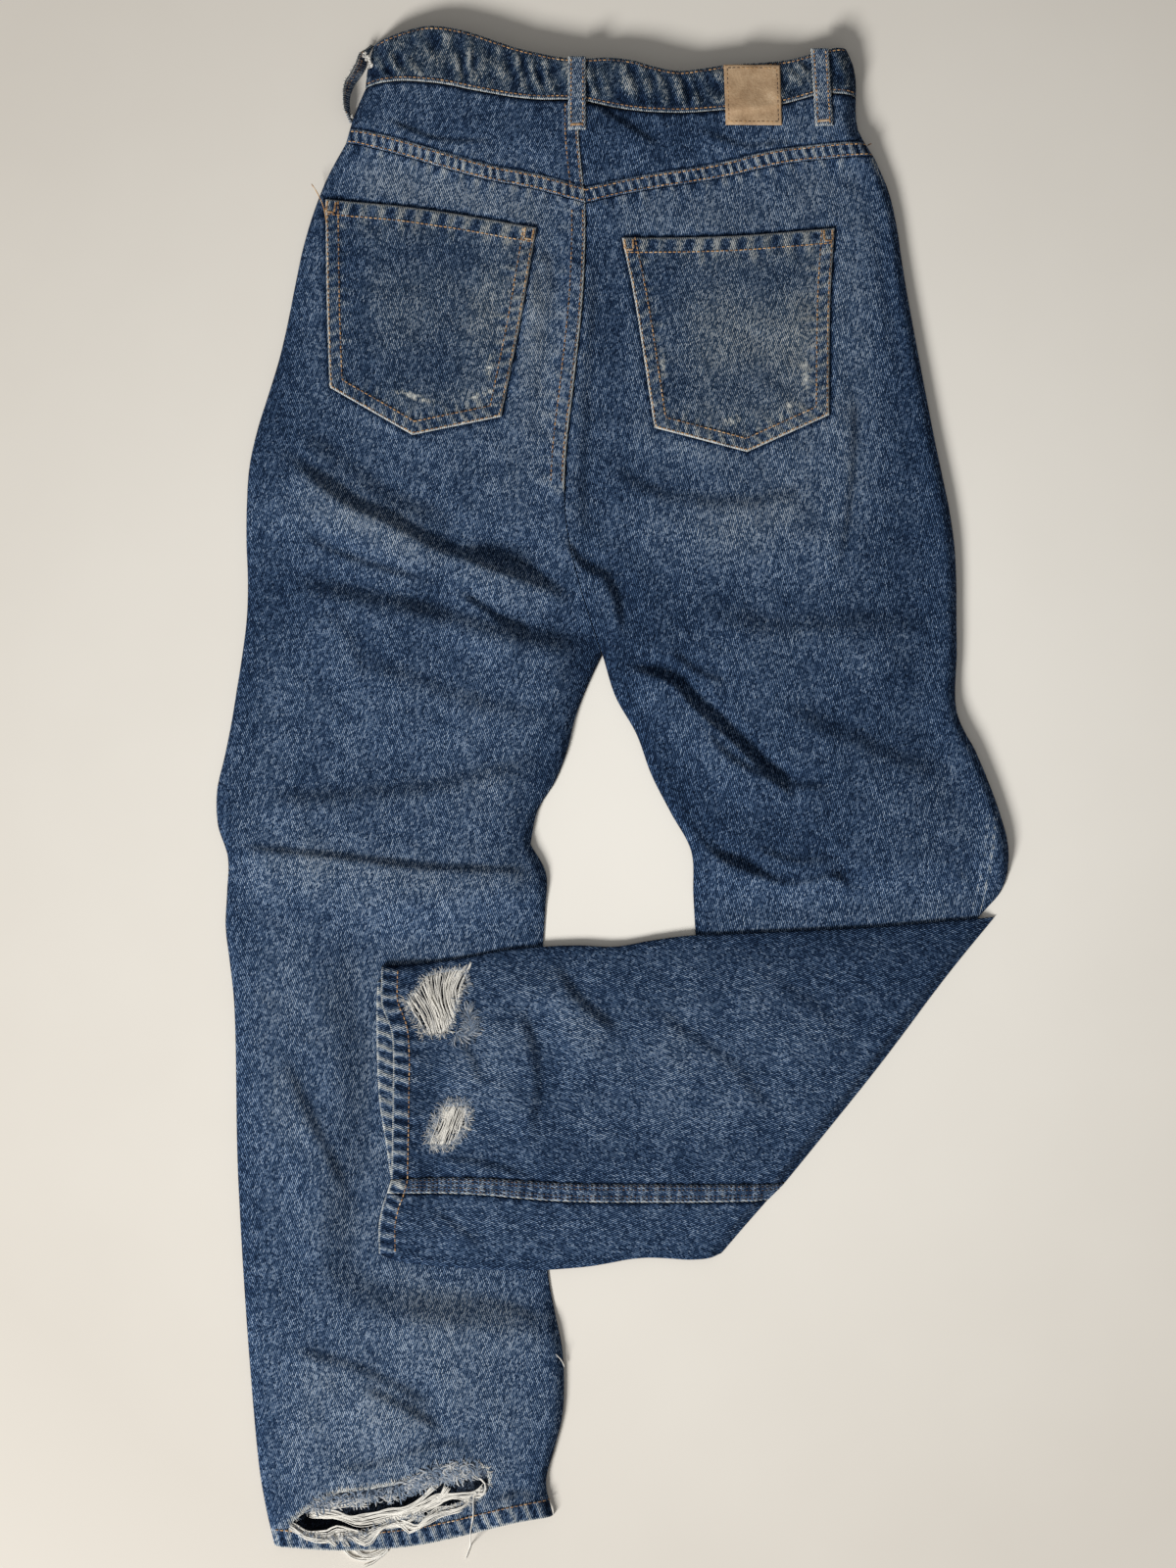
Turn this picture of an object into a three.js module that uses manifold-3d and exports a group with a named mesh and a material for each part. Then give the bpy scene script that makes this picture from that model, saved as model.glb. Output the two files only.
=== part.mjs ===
// Ripped jeans lying face down on a table, with the lower part of the right leg folded over
// a diagonal crease on to the left leg. Millimetres, +Z up, +Y towards the waist.
// Left and right are those of someone looking down at the back of the garment.
// Every panel is a thin closed wall over a net of points that runs between its cut edges.

import * as THREE from 'three';
import { mergeVertices } from 'three/addons/utils/BufferGeometryUtils.js';
import Module from 'manifold-3d';

const wasm = await Module();
wasm.setup();

// ---------------------------------------------------------------- driving dimensions

const CLOTH = 1.2;              // one layer of denim
const DOUBLE_CLOTH = 2.4;       // waistband, belt loops and the felled inseam
const HEM_THICKNESS = 2.6;      // turned twice
const HEM_DEPTH = 13;
const SEAM_GAP = 0.3;           // clearance between pieces that meet
const HALF_GAP = SEAM_GAP / 2;
const LAID_GAP = 0.5;           // clearance under what lies on a curved panel

const NET = 24;                 // spacing of the points on the large panels
const FINE_NET = 16;            // spacing on yokes, pockets and waistband

const EDGE_ROLL = 7;            // how far in from a side edge the back panel comes down
const CREASE_ROLL = 9;          // the same at the diagonal fold
const EDGE_BORDER = 9;          // width of the first strip of cloth along a side edge
const FRONT_INSET = 12;         // the hidden front panels stop this far inside the side edges
const FRONT_FOLD_INSET = 46;    // or this far along the rows that run out at the diagonal fold
const CREASE_INSET = 11;        // the two layers under the diagonal fold stop this far inside it
const CROWN = 5;                // how high the cloth stands in the middle of a leg
const CROWN_REACH = 40;         // over this distance from the edge
const FRONT_TOP = CLOTH;                        // upper face of the hidden front panels
const PRESSED = FRONT_TOP + SEAM_GAP + CLOTH;   // upper face of a back panel pressed flat

const WAIST_RISE = 4.5;         // the back waist lies on the front waistband and its button
const WAIST_RISE_START = 430;
const WAIST_RISE_END = 475;
const BUTTON_HEIGHT = 1.5;
const BUTTON_RADIUS = 8.5;
const FRONT_BAND_BOTTOM = BUTTON_HEIGHT + SEAM_GAP;
const FRONT_BAND_INSET = 10;
const FLY_WIDTH = 36;
const FLY_LENGTH = 140;

const LOOP_WIDTH = 12.6;
const LOOP_LENGTH = 52;
const PATCH_THICKNESS = 1.5;

const FOLD_FLOOR = PRESSED + SEAM_GAP;          // underside of the folded lower leg
const FOLD_TOP = 6.3;           // its upper face beside the edges
const FOLD_CROWN = 4;
const FOLD_CROWN_REACH = 30;
const FOLD_SIDE_EDGE = FOLD_FLOOR + SEAM_GAP + CLOTH;
const FOLD_CREASE_EDGE = SEAM_GAP + CLOTH;
const FOLD_HEM_RISE = 2.6;      // the near hem lies on the far one
const CORE_DROP = 3.2;          // the hidden layers stay this far below the folded leg's face
const CORE_INSET = 10;          // and this far inside its side edges
const CORE_CREASE_INSET = 22;   // and inside the diagonal fold
const PRESS_MARGIN = 22;        // cloth is pressed flat this far round the folded leg
const PRESS_FADE = 30;

const DENIM = new THREE.Color(0x47597a);
const DENIM_DARK = new THREE.Color(0x35465f);
const LEATHER = new THREE.Color(0xa3886a);
const YARN = new THREE.Color(0xd8d3c6);
const BRASS = new THREE.Color(0x9a7b4a);

// The lay is drawn from the middle of the waist seam's cut; this moves the box's centre to X = Y = 0.
const LAY_CENTRE = new THREE.Vector2(0, -4);

// ---------------------------------------------------------------- curves and nets

const clamp01 = (value) => Math.min(1, Math.max(0, value));
const smooth = (value, from, to) => THREE.MathUtils.smoothstep(value, from, to);

// A smooth cut line through its points.
function curve(...points) {
  const knots = points.map(([x, y]) => new THREE.Vector3(x, y, 0));
  return new THREE.CatmullRomCurve3(knots, false, 'centripetal');
}

// A cut line with corners. Each stretch takes the same share of the line.
class CorneredLine extends THREE.Curve {
  constructor(points) {
    super();
    this.knots = points.map(([x, y]) => new THREE.Vector3(x, y, 0));
  }

  getPointAt(share) {
    const place = share * (this.knots.length - 1);
    const first = Math.min(Math.floor(place), this.knots.length - 2);
    return this.knots[first].clone().lerp(this.knots[first + 1], place - first);
  }
}

const cornered = (...points) => new CorneredLine(points);

// The piece of cloth between four cut lines: u runs from left to right, v from top to bottom.
function patch({ top, bottom, left, right }) {
  return (u, v) => {
    const point = top.getPointAt(u).multiplyScalar(1 - v);
    point.addScaledVector(bottom.getPointAt(u), v);
    point.addScaledVector(left.getPointAt(v), 1 - u);
    point.addScaledVector(right.getPointAt(v), u);
    point.addScaledVector(top.getPointAt(0), -(1 - u) * (1 - v));
    point.addScaledVector(top.getPointAt(1), -u * (1 - v));
    point.addScaledVector(bottom.getPointAt(0), -(1 - u) * v);
    point.addScaledVector(bottom.getPointAt(1), -u * v);
    return point;
  };
}

// Places between 0 and the length, with a narrow first and last step of the width `border`.
function stepsAcross(length, count, border, startGap, endGap) {
  const places = [startGap];
  const inner = border > 0 ? count - 2 : count;
  const from = startGap + border;
  const to = length - endGap - border;
  const firstInner = border > 0 ? 0 : 1;
  const lastInner = border > 0 ? inner : inner - 1;
  for (let i = firstInner; i <= lastInner; i += 1) {
    places.push(from + ((to - from) * i) / inner);
  }
  places.push(length - endGap);
  return places.map((place) => place / length);
}

// Rows of points over a patch. The gaps are kept at the left, right, top and bottom edges.
function rowsOver(cloth, { columns, rows, border = 0, gaps = [0, 0, 0, 0], rowBorder = 0 }) {
  const [leftGap, rightGap, topGap, bottomGap] = gaps;
  const middle = cloth(0.5, 0).distanceTo(cloth(0.5, 1));
  const net = [];
  for (const v of stepsAcross(middle, rows, rowBorder, topGap, bottomGap)) {
    const width = cloth(0, v).distanceTo(cloth(1, v));
    net.push(stepsAcross(width, columns, border, leftGap, rightGap).map((u) => cloth(u, v)));
  }
  return net;
}

// A closed wall over a net: the upper face at top(x, y), the lower one at bottom(x, y).
function wall(net, top, bottom) {
  const rows = net.length;
  const columns = net[0].length;
  const positions = [];
  for (const height of [top, bottom]) {
    for (const row of net) {
      for (const { x, y } of row) {
        positions.push(x, y, height(x, y));
      }
    }
  }
  const upper = (row, column) => row * columns + column;
  const lower = (row, column) => rows * columns + upper(row, column);
  const triangles = [];
  const face = (a, b, c, d) => triangles.push(a, b, c, a, c, d);
  for (let row = 0; row < rows - 1; row += 1) {
    for (let column = 0; column < columns - 1; column += 1) {
      face(upper(row, column), upper(row + 1, column), upper(row + 1, column + 1), upper(row, column + 1));
      face(lower(row, column), lower(row, column + 1), lower(row + 1, column + 1), lower(row + 1, column));
    }
  }
  for (let row = 0; row < rows - 1; row += 1) {
    const last = columns - 1;
    face(upper(row, 0), lower(row, 0), lower(row + 1, 0), upper(row + 1, 0));
    face(upper(row, last), upper(row + 1, last), lower(row + 1, last), lower(row, last));
  }
  for (let column = 0; column < columns - 1; column += 1) {
    const last = rows - 1;
    face(upper(0, column), upper(0, column + 1), lower(0, column + 1), lower(0, column));
    face(upper(last, column), lower(last, column), lower(last, column + 1), upper(last, column + 1));
  }
  const geometry = new THREE.BufferGeometry();
  geometry.setAttribute('position', new THREE.Float32BufferAttribute(positions, 3));
  geometry.setIndex(triangles);
  return geometry;
}

// A flat piece with the outline given, from one height to another.
function slab(outline, from, to) {
  const shape = new THREE.Shape(outline.map(([x, y]) => new THREE.Vector2(x, y)));
  const geometry = new THREE.ExtrudeGeometry(shape, { depth: to - from, bevelEnabled: false });
  geometry.translate(0, 0, from);
  return geometry;
}

// ---------------------------------------------------------------- booleans

function toSolid(geometry) {
  const bare = new THREE.BufferGeometry();
  bare.setAttribute('position', geometry.getAttribute('position'));
  bare.setIndex(geometry.getIndex());
  const merged = mergeVertices(bare);
  const vertProperties = Float32Array.from(merged.getAttribute('position').array);
  const triVerts = Uint32Array.from(merged.getIndex().array);
  return new wasm.Manifold(new wasm.Mesh({ numProp: 3, vertProperties, triVerts }));
}

function toGeometry(solid) {
  const mesh = solid.getMesh();
  const geometry = new THREE.BufferGeometry();
  geometry.setAttribute('position', new THREE.BufferAttribute(Float32Array.from(mesh.vertProperties), 3));
  geometry.setIndex(new THREE.BufferAttribute(Uint32Array.from(mesh.triVerts), 1));
  return geometry;
}

const CUT_HEIGHT = 60;

// Cuts a rip with the outline given right through a piece.
function rip(geometry, outline) {
  return toGeometry(toSolid(geometry).subtract(toSolid(slab(outline, -CUT_HEIGHT, CUT_HEIGHT))));
}

// ---------------------------------------------------------------- cut lines of the lay

const CROTCH = [-7, 96];
const YOKE_POINT = [-19, 417];
const WAIST_CENTRE = [-24, 489];

const leftSide = curve(
  [-190, 461], [-203, 437], [-218, 396], [-236, 313], [-258, 236], [-261, 184], [-260, 133], [-264, 96],
);
const leftOutseam = curve(
  [-264, 96], [-273, 40], [-283, -15], [-274, -50], [-276, -94], [-270, -150],
  [-267, -276], [-258, -418], [-250, -497], [-241, -539],
);
const leftInseam = curve(
  CROTCH, [-24, 58], [-37, 12], [-51, -10], [-58, -40], [-48, -55], [-49, -112],
  [-46, -342], [-35, -404], [-36, -452], [-47, -493], [-42, -518],
);
const leftHem = curve([-241, -539], [-194, -541], [-150, -539], [-103, -530], [-66, -521], [-42, -518]);

const centreBack = curve(
  YOKE_POINT, [-19, 393], [-21, 348], [-27, 290], [-33, 236], [-33, 195], [-24, 150], CROTCH,
);
const leftCrotchLine = curve([-264, 96], CROTCH);
const rightCrotchLine = curve(CROTCH, [246, 96]);

const rightSide = curve([187, 451], [199, 421], [210, 357], [229, 256], [244, 177], [246, 96]);
const rightOutseam = curve([246, 96], [246, 55], [261, 24], [278, -21], [283, -45], [279, -70], [267, -85]);
const rightInseam = curve(
  CROTCH, [4, 62], [19, 36], [32, 0], [56, -43], [58, -80], [63, -160], [69, -250], [70, -322],
);
const creaseLine = [[78, -331], [108, -296], [145, -254], [193, -194], [238, -134], [273, -91]];
const creaseNormal = new THREE.Vector2(-0.776, 0.631);
const creaseInside = creaseLine.map(([x, y]) => [
  x + creaseNormal.x * CREASE_INSET,
  y + creaseNormal.y * CREASE_INSET,
]);
const underCrease = curve([70, -322], ...creaseInside.slice(1, -1), [267, -85]);

const leftYokeSeam = curve([-190, 461], [-155, 452], [-124, 443], [-91, 434], [-55, 427], YOKE_POINT);
const rightYokeSeam = curve(YOKE_POINT, [23, 426], [74, 434], [124, 445], [187, 451]);
const leftWaistSeam = curve([-176, 500], [-155, 503], [-124, 501], [-98, 496], [-60, 490], WAIST_CENTRE);
const rightWaistSeam = curve(WAIST_CENTRE, [14, 482], [45, 480], [79, 482], [120, 486], [150, 494], [174, 493]);
const waistTop = curve(
  [-170, 531], [-134, 542], [-110, 540], [-66, 526], [-31, 519], [6, 519], [45, 510], [79, 514],
  [124, 518], [155, 526], [167, 528],
);

const foldTopEdge = curve(
  [-164, -126], [-135, -124], [-110, -121], [-72, -114], [-16, -111], [12, -112], [35, -106],
  [84, -103], [188, -98], [236, -94], [273, -91],
);
const nearHem = curve([-164, -126], [-164, -152], [-157, -172], [-156, -224], [-157, -277]);
const farHem = curve([-167, -128], [-168, -160], [-166, -222], [-161, -254], [-158, -277]);
const inseamTop = curve([-157, -277], [-100, -276], [-33, -280], [53, -281], [123, -281]);
const inseamBottom = curve([-160, -287], [-100, -288], [-39, -293], [53, -294], [111, -293]);
const foldBottomEdge = curve(
  [-166, -331], [-154, -336], [-110, -341], [-62, -343], [-16, -340], [21, -334], [65, -335], [78, -331],
);
const creaseToInseam = curve([273, -91], [238, -134], [193, -194], [145, -254], [123, -281]);
const creaseBelowInseam = curve([111, -294], [96, -310], [78, -331]);

// ---------------------------------------------------------------- height of the laid cloth

function distanceToLine(line, x, y) {
  let nearest = Infinity;
  for (let i = 0; i < line.length - 1; i += 1) {
    const { x: ax, y: ay } = line[i];
    const { x: bx, y: by } = line[i + 1];
    const lengthSquared = (bx - ax) ** 2 + (by - ay) ** 2;
    const share = clamp01(((x - ax) * (bx - ax) + (y - ay) * (by - ay)) / lengthSquared);
    nearest = Math.min(nearest, Math.hypot(x - ax - share * (bx - ax), y - ay - share * (by - ay)));
  }
  return nearest;
}

const LINE_SAMPLES = 60;
const sampled = (line) => line.getSpacedPoints(LINE_SAMPLES);

const sideEdges = [
  curve([-170, 531], [-176, 500], [-184, 481], [-190, 461]),
  leftSide,
  leftOutseam,
  leftInseam,
  rightInseam,
  rightSide,
  rightOutseam,
  curve([167, 528], [173, 512], [174, 493], [175, 472], [187, 451]),
].map(sampled);

const foldSides = [foldTopEdge, foldBottomEdge].map(sampled);
const crease = [creaseToInseam, creaseBelowInseam].map(sampled);
const foldOutline = [
  ...sampled(foldTopEdge),
  ...crease[0],
  ...crease[1],
  ...sampled(foldBottomEdge).reverse(),
  ...sampled(nearHem).reverse(),
];

const nearestOf = (lines, x, y) => Math.min(...lines.map((line) => distanceToLine(line, x, y)));

function insideOutline(outline, x, y) {
  let inside = false;
  for (let i = 0, j = outline.length - 1; i < outline.length; j = i, i += 1) {
    const a = outline[i];
    const b = outline[j];
    if (a.y > y !== b.y > y && x < ((b.x - a.x) * (y - a.y)) / (b.y - a.y) + a.x) {
      inside = !inside;
    }
  }
  return inside;
}

// 1 away from the folded leg, 0 where its weight presses the cloth flat.
function unpressed(x, y) {
  if (insideOutline(foldOutline, x, y)) {
    return 0;
  }
  return smooth(distanceToLine(foldOutline, x, y), PRESS_MARGIN, PRESS_MARGIN + PRESS_FADE);
}

// A soft ridge (height above zero) or trough (below zero) along a line of points.
function softFold(height, width, ...points) {
  const line = sampled(curve(...points));
  return (x, y) => height * Math.exp(-0.5 * (distanceToLine(line, x, y) / width) ** 2);
}

const backFolds = [
  // from the left hip down to the crotch
  softFold(-4, 12, [-215, 229], [-163, 198], [-92, 168], [-42, 135]),
  softFold(5, 15, [-232, 204], [-165, 170], [-100, 142], [-48, 114]),
  softFold(-3, 22, [-174, 110], [-71, 62]),
  // across the left knee
  softFold(3, 18, [-265, -18], [-160, -24], [-70, -34]),
  softFold(-4, 10, [-272, -40], [-160, -48], [-56, -57]),
  // down from the crotch on the right leg
  softFold(-4, 12, [11, 84], [48, 74], [89, 37], [125, 0]),
  softFold(4, 16, [20, 55], [60, 20], [100, -20]),
  // above the left hem
  softFold(-3, 12, [-140, -350], [-60, -375]),
  softFold(3, 16, [-190, -455], [-110, -440]),
];

const sumOf = (folds, x, y) => folds.reduce((sum, fold) => sum + fold(x, y), 0);

// Upper face of every back piece of the garment, at one layer's thickness.
function backTop(x, y) {
  const edge = nearestOf(sideEdges, x, y);
  const rolled = CLOTH + (PRESSED - CLOTH) * smooth(edge, 0, EDGE_ROLL);
  const crown = CROWN * (1 - Math.exp(-Math.max(0, edge - EDGE_ROLL) / CROWN_REACH));
  const folds = sumOf(backFolds, x, y) * smooth(edge, EDGE_ROLL, CROWN_REACH);
  const waist = WAIST_RISE * smooth(y, WAIST_RISE_START, WAIST_RISE_END) * smooth(edge, 0, FRONT_BAND_INSET);
  return rolled + Math.max(0, crown + folds + waist) * unpressed(x, y);
}

const hemShare = (x, y) => 1 - smooth(nearestOf([sampled(leftHem)], x, y), HEM_DEPTH, HEM_DEPTH + 4);
const hemmedTop = (x, y) => backTop(x, y) + (HEM_THICKNESS - CLOTH) * hemShare(x, y);
const backBottom = (x, y) => backTop(x, y) - CLOTH;
const bandTop = (x, y) => backTop(x, y) + DOUBLE_CLOTH - CLOTH;

// The face that a belt loop or patch lies on: the waistband, then a step down to the yoke.
const waistSeamPoints = [...sampled(leftWaistSeam), ...sampled(rightWaistSeam)];
const STEP_DOWN = 6;
const STEP_CLEAR = 2;

function waistSeamHeight(x) {
  return waistSeamPoints.reduce((best, point) => (
    Math.abs(point.x - x) < Math.abs(best.x - x) ? point : best
  )).y;
}

function overWaistband(x, y) {
  const below = waistSeamHeight(x) - y;
  const onBand = 1 - smooth(below, STEP_CLEAR, STEP_CLEAR + STEP_DOWN);
  return backTop(x, y) + LAID_GAP + (DOUBLE_CLOTH - CLOTH) * onBand;
}

const foldedFolds = [
  softFold(2.5, 12, [-60, -150], [-50, -200], [-62, -262]),
  softFold(2, 12, [-10, -125], [15, -150]),
  softFold(-1.5, 12, [-128, -262], [-95, -268]),
];

// Upper face of the folded lower leg, without its creases.
function foldedSmooth(x, y) {
  const side = nearestOf(foldSides, x, y);
  const turn = smooth(nearestOf(crease, x, y), 0, CREASE_ROLL);
  const crown = FOLD_CROWN * (1 - Math.exp(-Math.max(0, side - EDGE_ROLL) / FOLD_CROWN_REACH));
  const hemRise = FOLD_HEM_RISE * (1 - smooth(x, -150, -118));
  const height = FOLD_TOP + crown * turn + hemRise - FOLD_SIDE_EDGE;
  const raised = FOLD_CREASE_EDGE + (FOLD_SIDE_EDGE - FOLD_CREASE_EDGE) * turn;
  return raised + height * smooth(side, 0, EDGE_ROLL) * turn;
}

function foldedTop(x, y) {
  const free = smooth(Math.min(nearestOf(foldSides, x, y), nearestOf(crease, x, y)), EDGE_ROLL, 30);
  return foldedSmooth(x, y) + sumOf(foldedFolds, x, y) * free;
}

const foldedBottom = (x, y) => foldedTop(x, y) - CLOTH;

// ---------------------------------------------------------------- panels

const leftSeat = patch({ top: leftYokeSeam, bottom: leftCrotchLine, left: leftSide, right: centreBack });
const leftLeg = patch({ top: leftCrotchLine, bottom: leftHem, left: leftOutseam, right: leftInseam });
const rightSeat = patch({ top: rightYokeSeam, bottom: rightCrotchLine, left: centreBack, right: rightSide });
const rightLeg = patch({
  top: rightCrotchLine, bottom: underCrease, left: rightInseam, right: rightOutseam,
});

const LEG_COLUMNS = 10;
const SEAT_ROWS = 14;
const LEFT_LEG_ROWS = Math.round(635 / NET);
const RIGHT_LEG_ROWS = 14;

// A leg in one piece: the seat's rows, then the leg's, which start at the crotch line.
function legNet(seat, leg, legRows, seatGaps, legGaps, border, columns) {
  const seatNet = rowsOver(seat, { columns, rows: SEAT_ROWS, border, gaps: seatGaps });
  const legPart = rowsOver(leg, { columns, rows: legRows, border, gaps: legGaps });
  return [...seatNet.slice(0, -1), ...legPart];
}

const backLeftNet = legNet(
  leftSeat, leftLeg, LEFT_LEG_ROWS, [0, HALF_GAP, HALF_GAP, 0], [0, HALF_GAP, 0, 0],
  EDGE_BORDER, LEG_COLUMNS,
);
const backRightNet = legNet(
  rightSeat, rightLeg, RIGHT_LEG_ROWS, [HALF_GAP, 0, HALF_GAP, 0], [HALF_GAP, 0, 0, 0],
  EDGE_BORDER, LEG_COLUMNS,
);

// The rip above the left hem, and what is left of the hem below it.
const HEM_RIP = [
  [-229, -523], [-217, -531], [-203, -533], [-180, -531], [-164, -524], [-146, -519], [-111, -511],
  [-96, -504], [-88, -493], [-90, -482], [-103, -487], [-119, -483], [-134, -488], [-149, -493],
  [-170, -497], [-194, -500], [-215, -511],
];

const backLeftLeg = rip(wall(backLeftNet, hemmedTop, backBottom), HEM_RIP);
const backRightLeg = wall(backRightNet, backTop, backBottom);

// Hidden front panels: flat on the floor, a little inside the back ones.
const FRONT_COLUMNS = 4;
const frontLeftNet = legNet(
  leftSeat, leftLeg, LEFT_LEG_ROWS, [FRONT_INSET, HALF_GAP, 0, 0], [FRONT_INSET, FRONT_INSET, 0, 2],
  0, FRONT_COLUMNS,
);
const frontRightNet = legNet(
  rightSeat, rightLeg, RIGHT_LEG_ROWS, [HALF_GAP, FRONT_INSET, 0, 0],
  [FRONT_INSET, FRONT_FOLD_INSET, 0, FRONT_INSET],
  0, FRONT_COLUMNS,
);
const onFloor = () => 0;
const frontTop = () => FRONT_TOP;

const leftYoke = patch({
  top: leftWaistSeam,
  bottom: leftYokeSeam,
  left: curve([-176, 500], [-184, 481], [-190, 461]),
  right: curve(WAIST_CENTRE, [-24, 467], YOKE_POINT),
});
const rightYoke = patch({
  top: rightWaistSeam,
  bottom: rightYokeSeam,
  left: curve(WAIST_CENTRE, [-24, 467], YOKE_POINT),
  right: curve([174, 493], [175, 472], [187, 451]),
});
const yokeShape = { columns: LEG_COLUMNS, rows: 4, border: EDGE_BORDER };
const leftYokeNet = rowsOver(leftYoke, { ...yokeShape, gaps: [0, HALF_GAP, HALF_GAP, HALF_GAP] });
const rightYokeNet = rowsOver(rightYoke, { ...yokeShape, gaps: [HALF_GAP, 0, HALF_GAP, HALF_GAP] });

// The front of each yoke's height lies on the front panel, which runs up to the waist seam.
const frontLeftTop = rowsOver(leftYoke, {
  columns: FRONT_COLUMNS, rows: 3, gaps: [FRONT_INSET, HALF_GAP, 0, 0],
});
const frontRightTop = rowsOver(rightYoke, {
  columns: FRONT_COLUMNS, rows: 3, gaps: [HALF_GAP, FRONT_INSET, 0, 0],
});
const frontLeftLeg = wall([...frontLeftTop, ...frontLeftNet.slice(1)], frontTop, onFloor);
const frontRightLeg = wall([...frontRightTop, ...frontRightNet.slice(1)], frontTop, onFloor);

// ---------------------------------------------------------------- waistband, loops, patch

const waistSeam = curve(
  [-176, 500], [-155, 503], [-124, 501], [-98, 496], [-60, 490], WAIST_CENTRE,
  [14, 482], [45, 480], [79, 482], [120, 486], [150, 494], [174, 493],
);
const waistband = patch({
  top: waistTop,
  bottom: waistSeam,
  left: curve([-170, 531], [-174, 516], [-176, 500]),
  right: curve([167, 528], [173, 512], [174, 493]),
});
const BAND_COLUMNS = Math.round(350 / FINE_NET);
const waistbandBackNet = rowsOver(waistband, {
  columns: BAND_COLUMNS, rows: 3, border: EDGE_ROLL, gaps: [0, 0, 0, LAID_GAP],
});
const waistbandBack = wall(waistbandBackNet, bandTop, backBottom);

const frontBandGaps = [FRONT_BAND_INSET, FRONT_BAND_INSET, 3, 3];
const waistbandFront = wall(
  rowsOver(waistband, { columns: BAND_COLUMNS, rows: 1, gaps: frontBandGaps }),
  () => FRONT_BAND_BOTTOM + DOUBLE_CLOTH,
  () => FRONT_BAND_BOTTOM,
);

const BUTTON_PLACE = [6, 501];
const BUTTON_SIDES = 32;
const waistButton = new THREE.CylinderGeometry(BUTTON_RADIUS, BUTTON_RADIUS, BUTTON_HEIGHT, BUTTON_SIDES);
waistButton.rotateX(Math.PI / 2);
waistButton.translate(BUTTON_PLACE[0], BUTTON_PLACE[1], BUTTON_HEIGHT / 2);

// The fly's facing lies on the inner face of the front panels, below the waistband.
const FLY_TOP = 476;
const FLY_LEFT = -30;
const flyFacing = slab(
  [
    [FLY_LEFT, FLY_TOP], [FLY_LEFT, FLY_TOP - FLY_LENGTH], [FLY_LEFT + FLY_WIDTH / 2, FLY_TOP - FLY_LENGTH + 6],
    [FLY_LEFT + FLY_WIDTH, FLY_TOP - FLY_LENGTH + 30], [FLY_LEFT + FLY_WIDTH, FLY_TOP],
  ],
  FRONT_TOP + SEAM_GAP,
  FRONT_TOP + SEAM_GAP + CLOTH,
);

// A strip that lies over the waistband and ends on the yoke.
function strap(width, thickness, [topX, topY], [bottomX, bottomY]) {
  const half = width / 2;
  const cloth = patch({
    top: curve([topX - half, topY], [topX + half, topY]),
    bottom: curve([bottomX - half, bottomY], [bottomX + half, bottomY]),
    left: curve([topX - half, topY], [bottomX - half, bottomY]),
    right: curve([topX + half, topY], [bottomX + half, bottomY]),
  });
  const net = rowsOver(cloth, { columns: Math.max(2, Math.round(width / 13)), rows: 9 });
  return wall(net, (x, y) => overWaistband(x, y) + thickness, overWaistband);
}

const centreLoop = strap(LOOP_WIDTH, DOUBLE_CLOTH, [-25, 520], [-25, 520 - LOOP_LENGTH]);
const rightBackLoop = strap(LOOP_WIDTH, DOUBLE_CLOTH, [147, 526], [150.5, 471]);
const leatherPatch = strap(40, PATCH_THICKNESS, [99, 514], [100.5, 471.5]);

// The left back loop sits where the waistband turns round, and bows out from the edge.
const BOWED_LOOP_HEIGHT = 10;
const BOWED_LOOP_LEAN = 0.35;
const bowedLine = curve([-174, 532], [-183, 522], [-189, 510], [-191.5, 497], [-190.5, 486], [-192, 478]);

function bowedLoop() {
  const steps = 14;
  const outer = [];
  const inner = [];
  for (let i = 0; i <= steps; i += 1) {
    const point = bowedLine.getPointAt(i / steps);
    const along = bowedLine.getTangentAt(i / steps);
    const half = DOUBLE_CLOTH / 2;
    outer.push([point.x + along.y * half, point.y - along.x * half]);
    inner.push([point.x - along.y * half, point.y + along.x * half]);
  }
  const geometry = slab([...outer, ...inner.reverse()], SEAM_GAP, BOWED_LOOP_HEIGHT);
  const lean = new THREE.Matrix4().makeShear(0, 0, 0, 0, -BOWED_LOOP_LEAN, 0);
  return geometry.applyMatrix4(lean);
}

// Two more loops lie under the front waistband, as tall as the band they are sewn to.
const FRONT_LOOP_LENGTH = 26;

function frontLoop(left, bottom) {
  const right = left + LOOP_WIDTH;
  const top = bottom + FRONT_LOOP_LENGTH;
  return slab([[left, bottom], [right, bottom], [right, top], [left, top]], SEAM_GAP, BUTTON_HEIGHT);
}

// ---------------------------------------------------------------- pockets

const pocketTop = (x, y) => backTop(x, y) + LAID_GAP + CLOTH;
const pocketBottom = (x, y) => backTop(x, y) + LAID_GAP;

function pocket({ top, left, right, point }) {
  const cloth = patch({
    top: curve(...top),
    bottom: cornered(left.at(-1), point, right.at(-1)),
    left: curve(...left),
    right: curve(...right),
  });
  return wall(rowsOver(cloth, { columns: 8, rows: 9 }), pocketTop, pocketBottom);
}

const leftPocket = pocket({
  top: [[-204, 420], [-130, 412], [-54, 399]],
  left: [[-204, 420], [-203, 348], [-201, 286]],
  right: [[-54, 399], [-65, 334], [-79, 265]],
  point: [-142, 252],
});
const rightPocket = pocket({
  top: [[7, 392], [80, 393], [158, 399]],
  left: [[7, 392], [16, 348], [30, 257]],
  right: [[158, 399], [155, 348], [154, 266]],
  point: [96, 240],
});

// ---------------------------------------------------------------- folded lower leg

const foldedFront = patch({
  top: foldTopEdge, bottom: inseamTop, left: nearHem, right: creaseToInseam,
});
const FOLDED_COLUMNS = 18;
const foldedGrid = { columns: FOLDED_COLUMNS, rows: 9, rowBorder: EDGE_BORDER };

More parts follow.
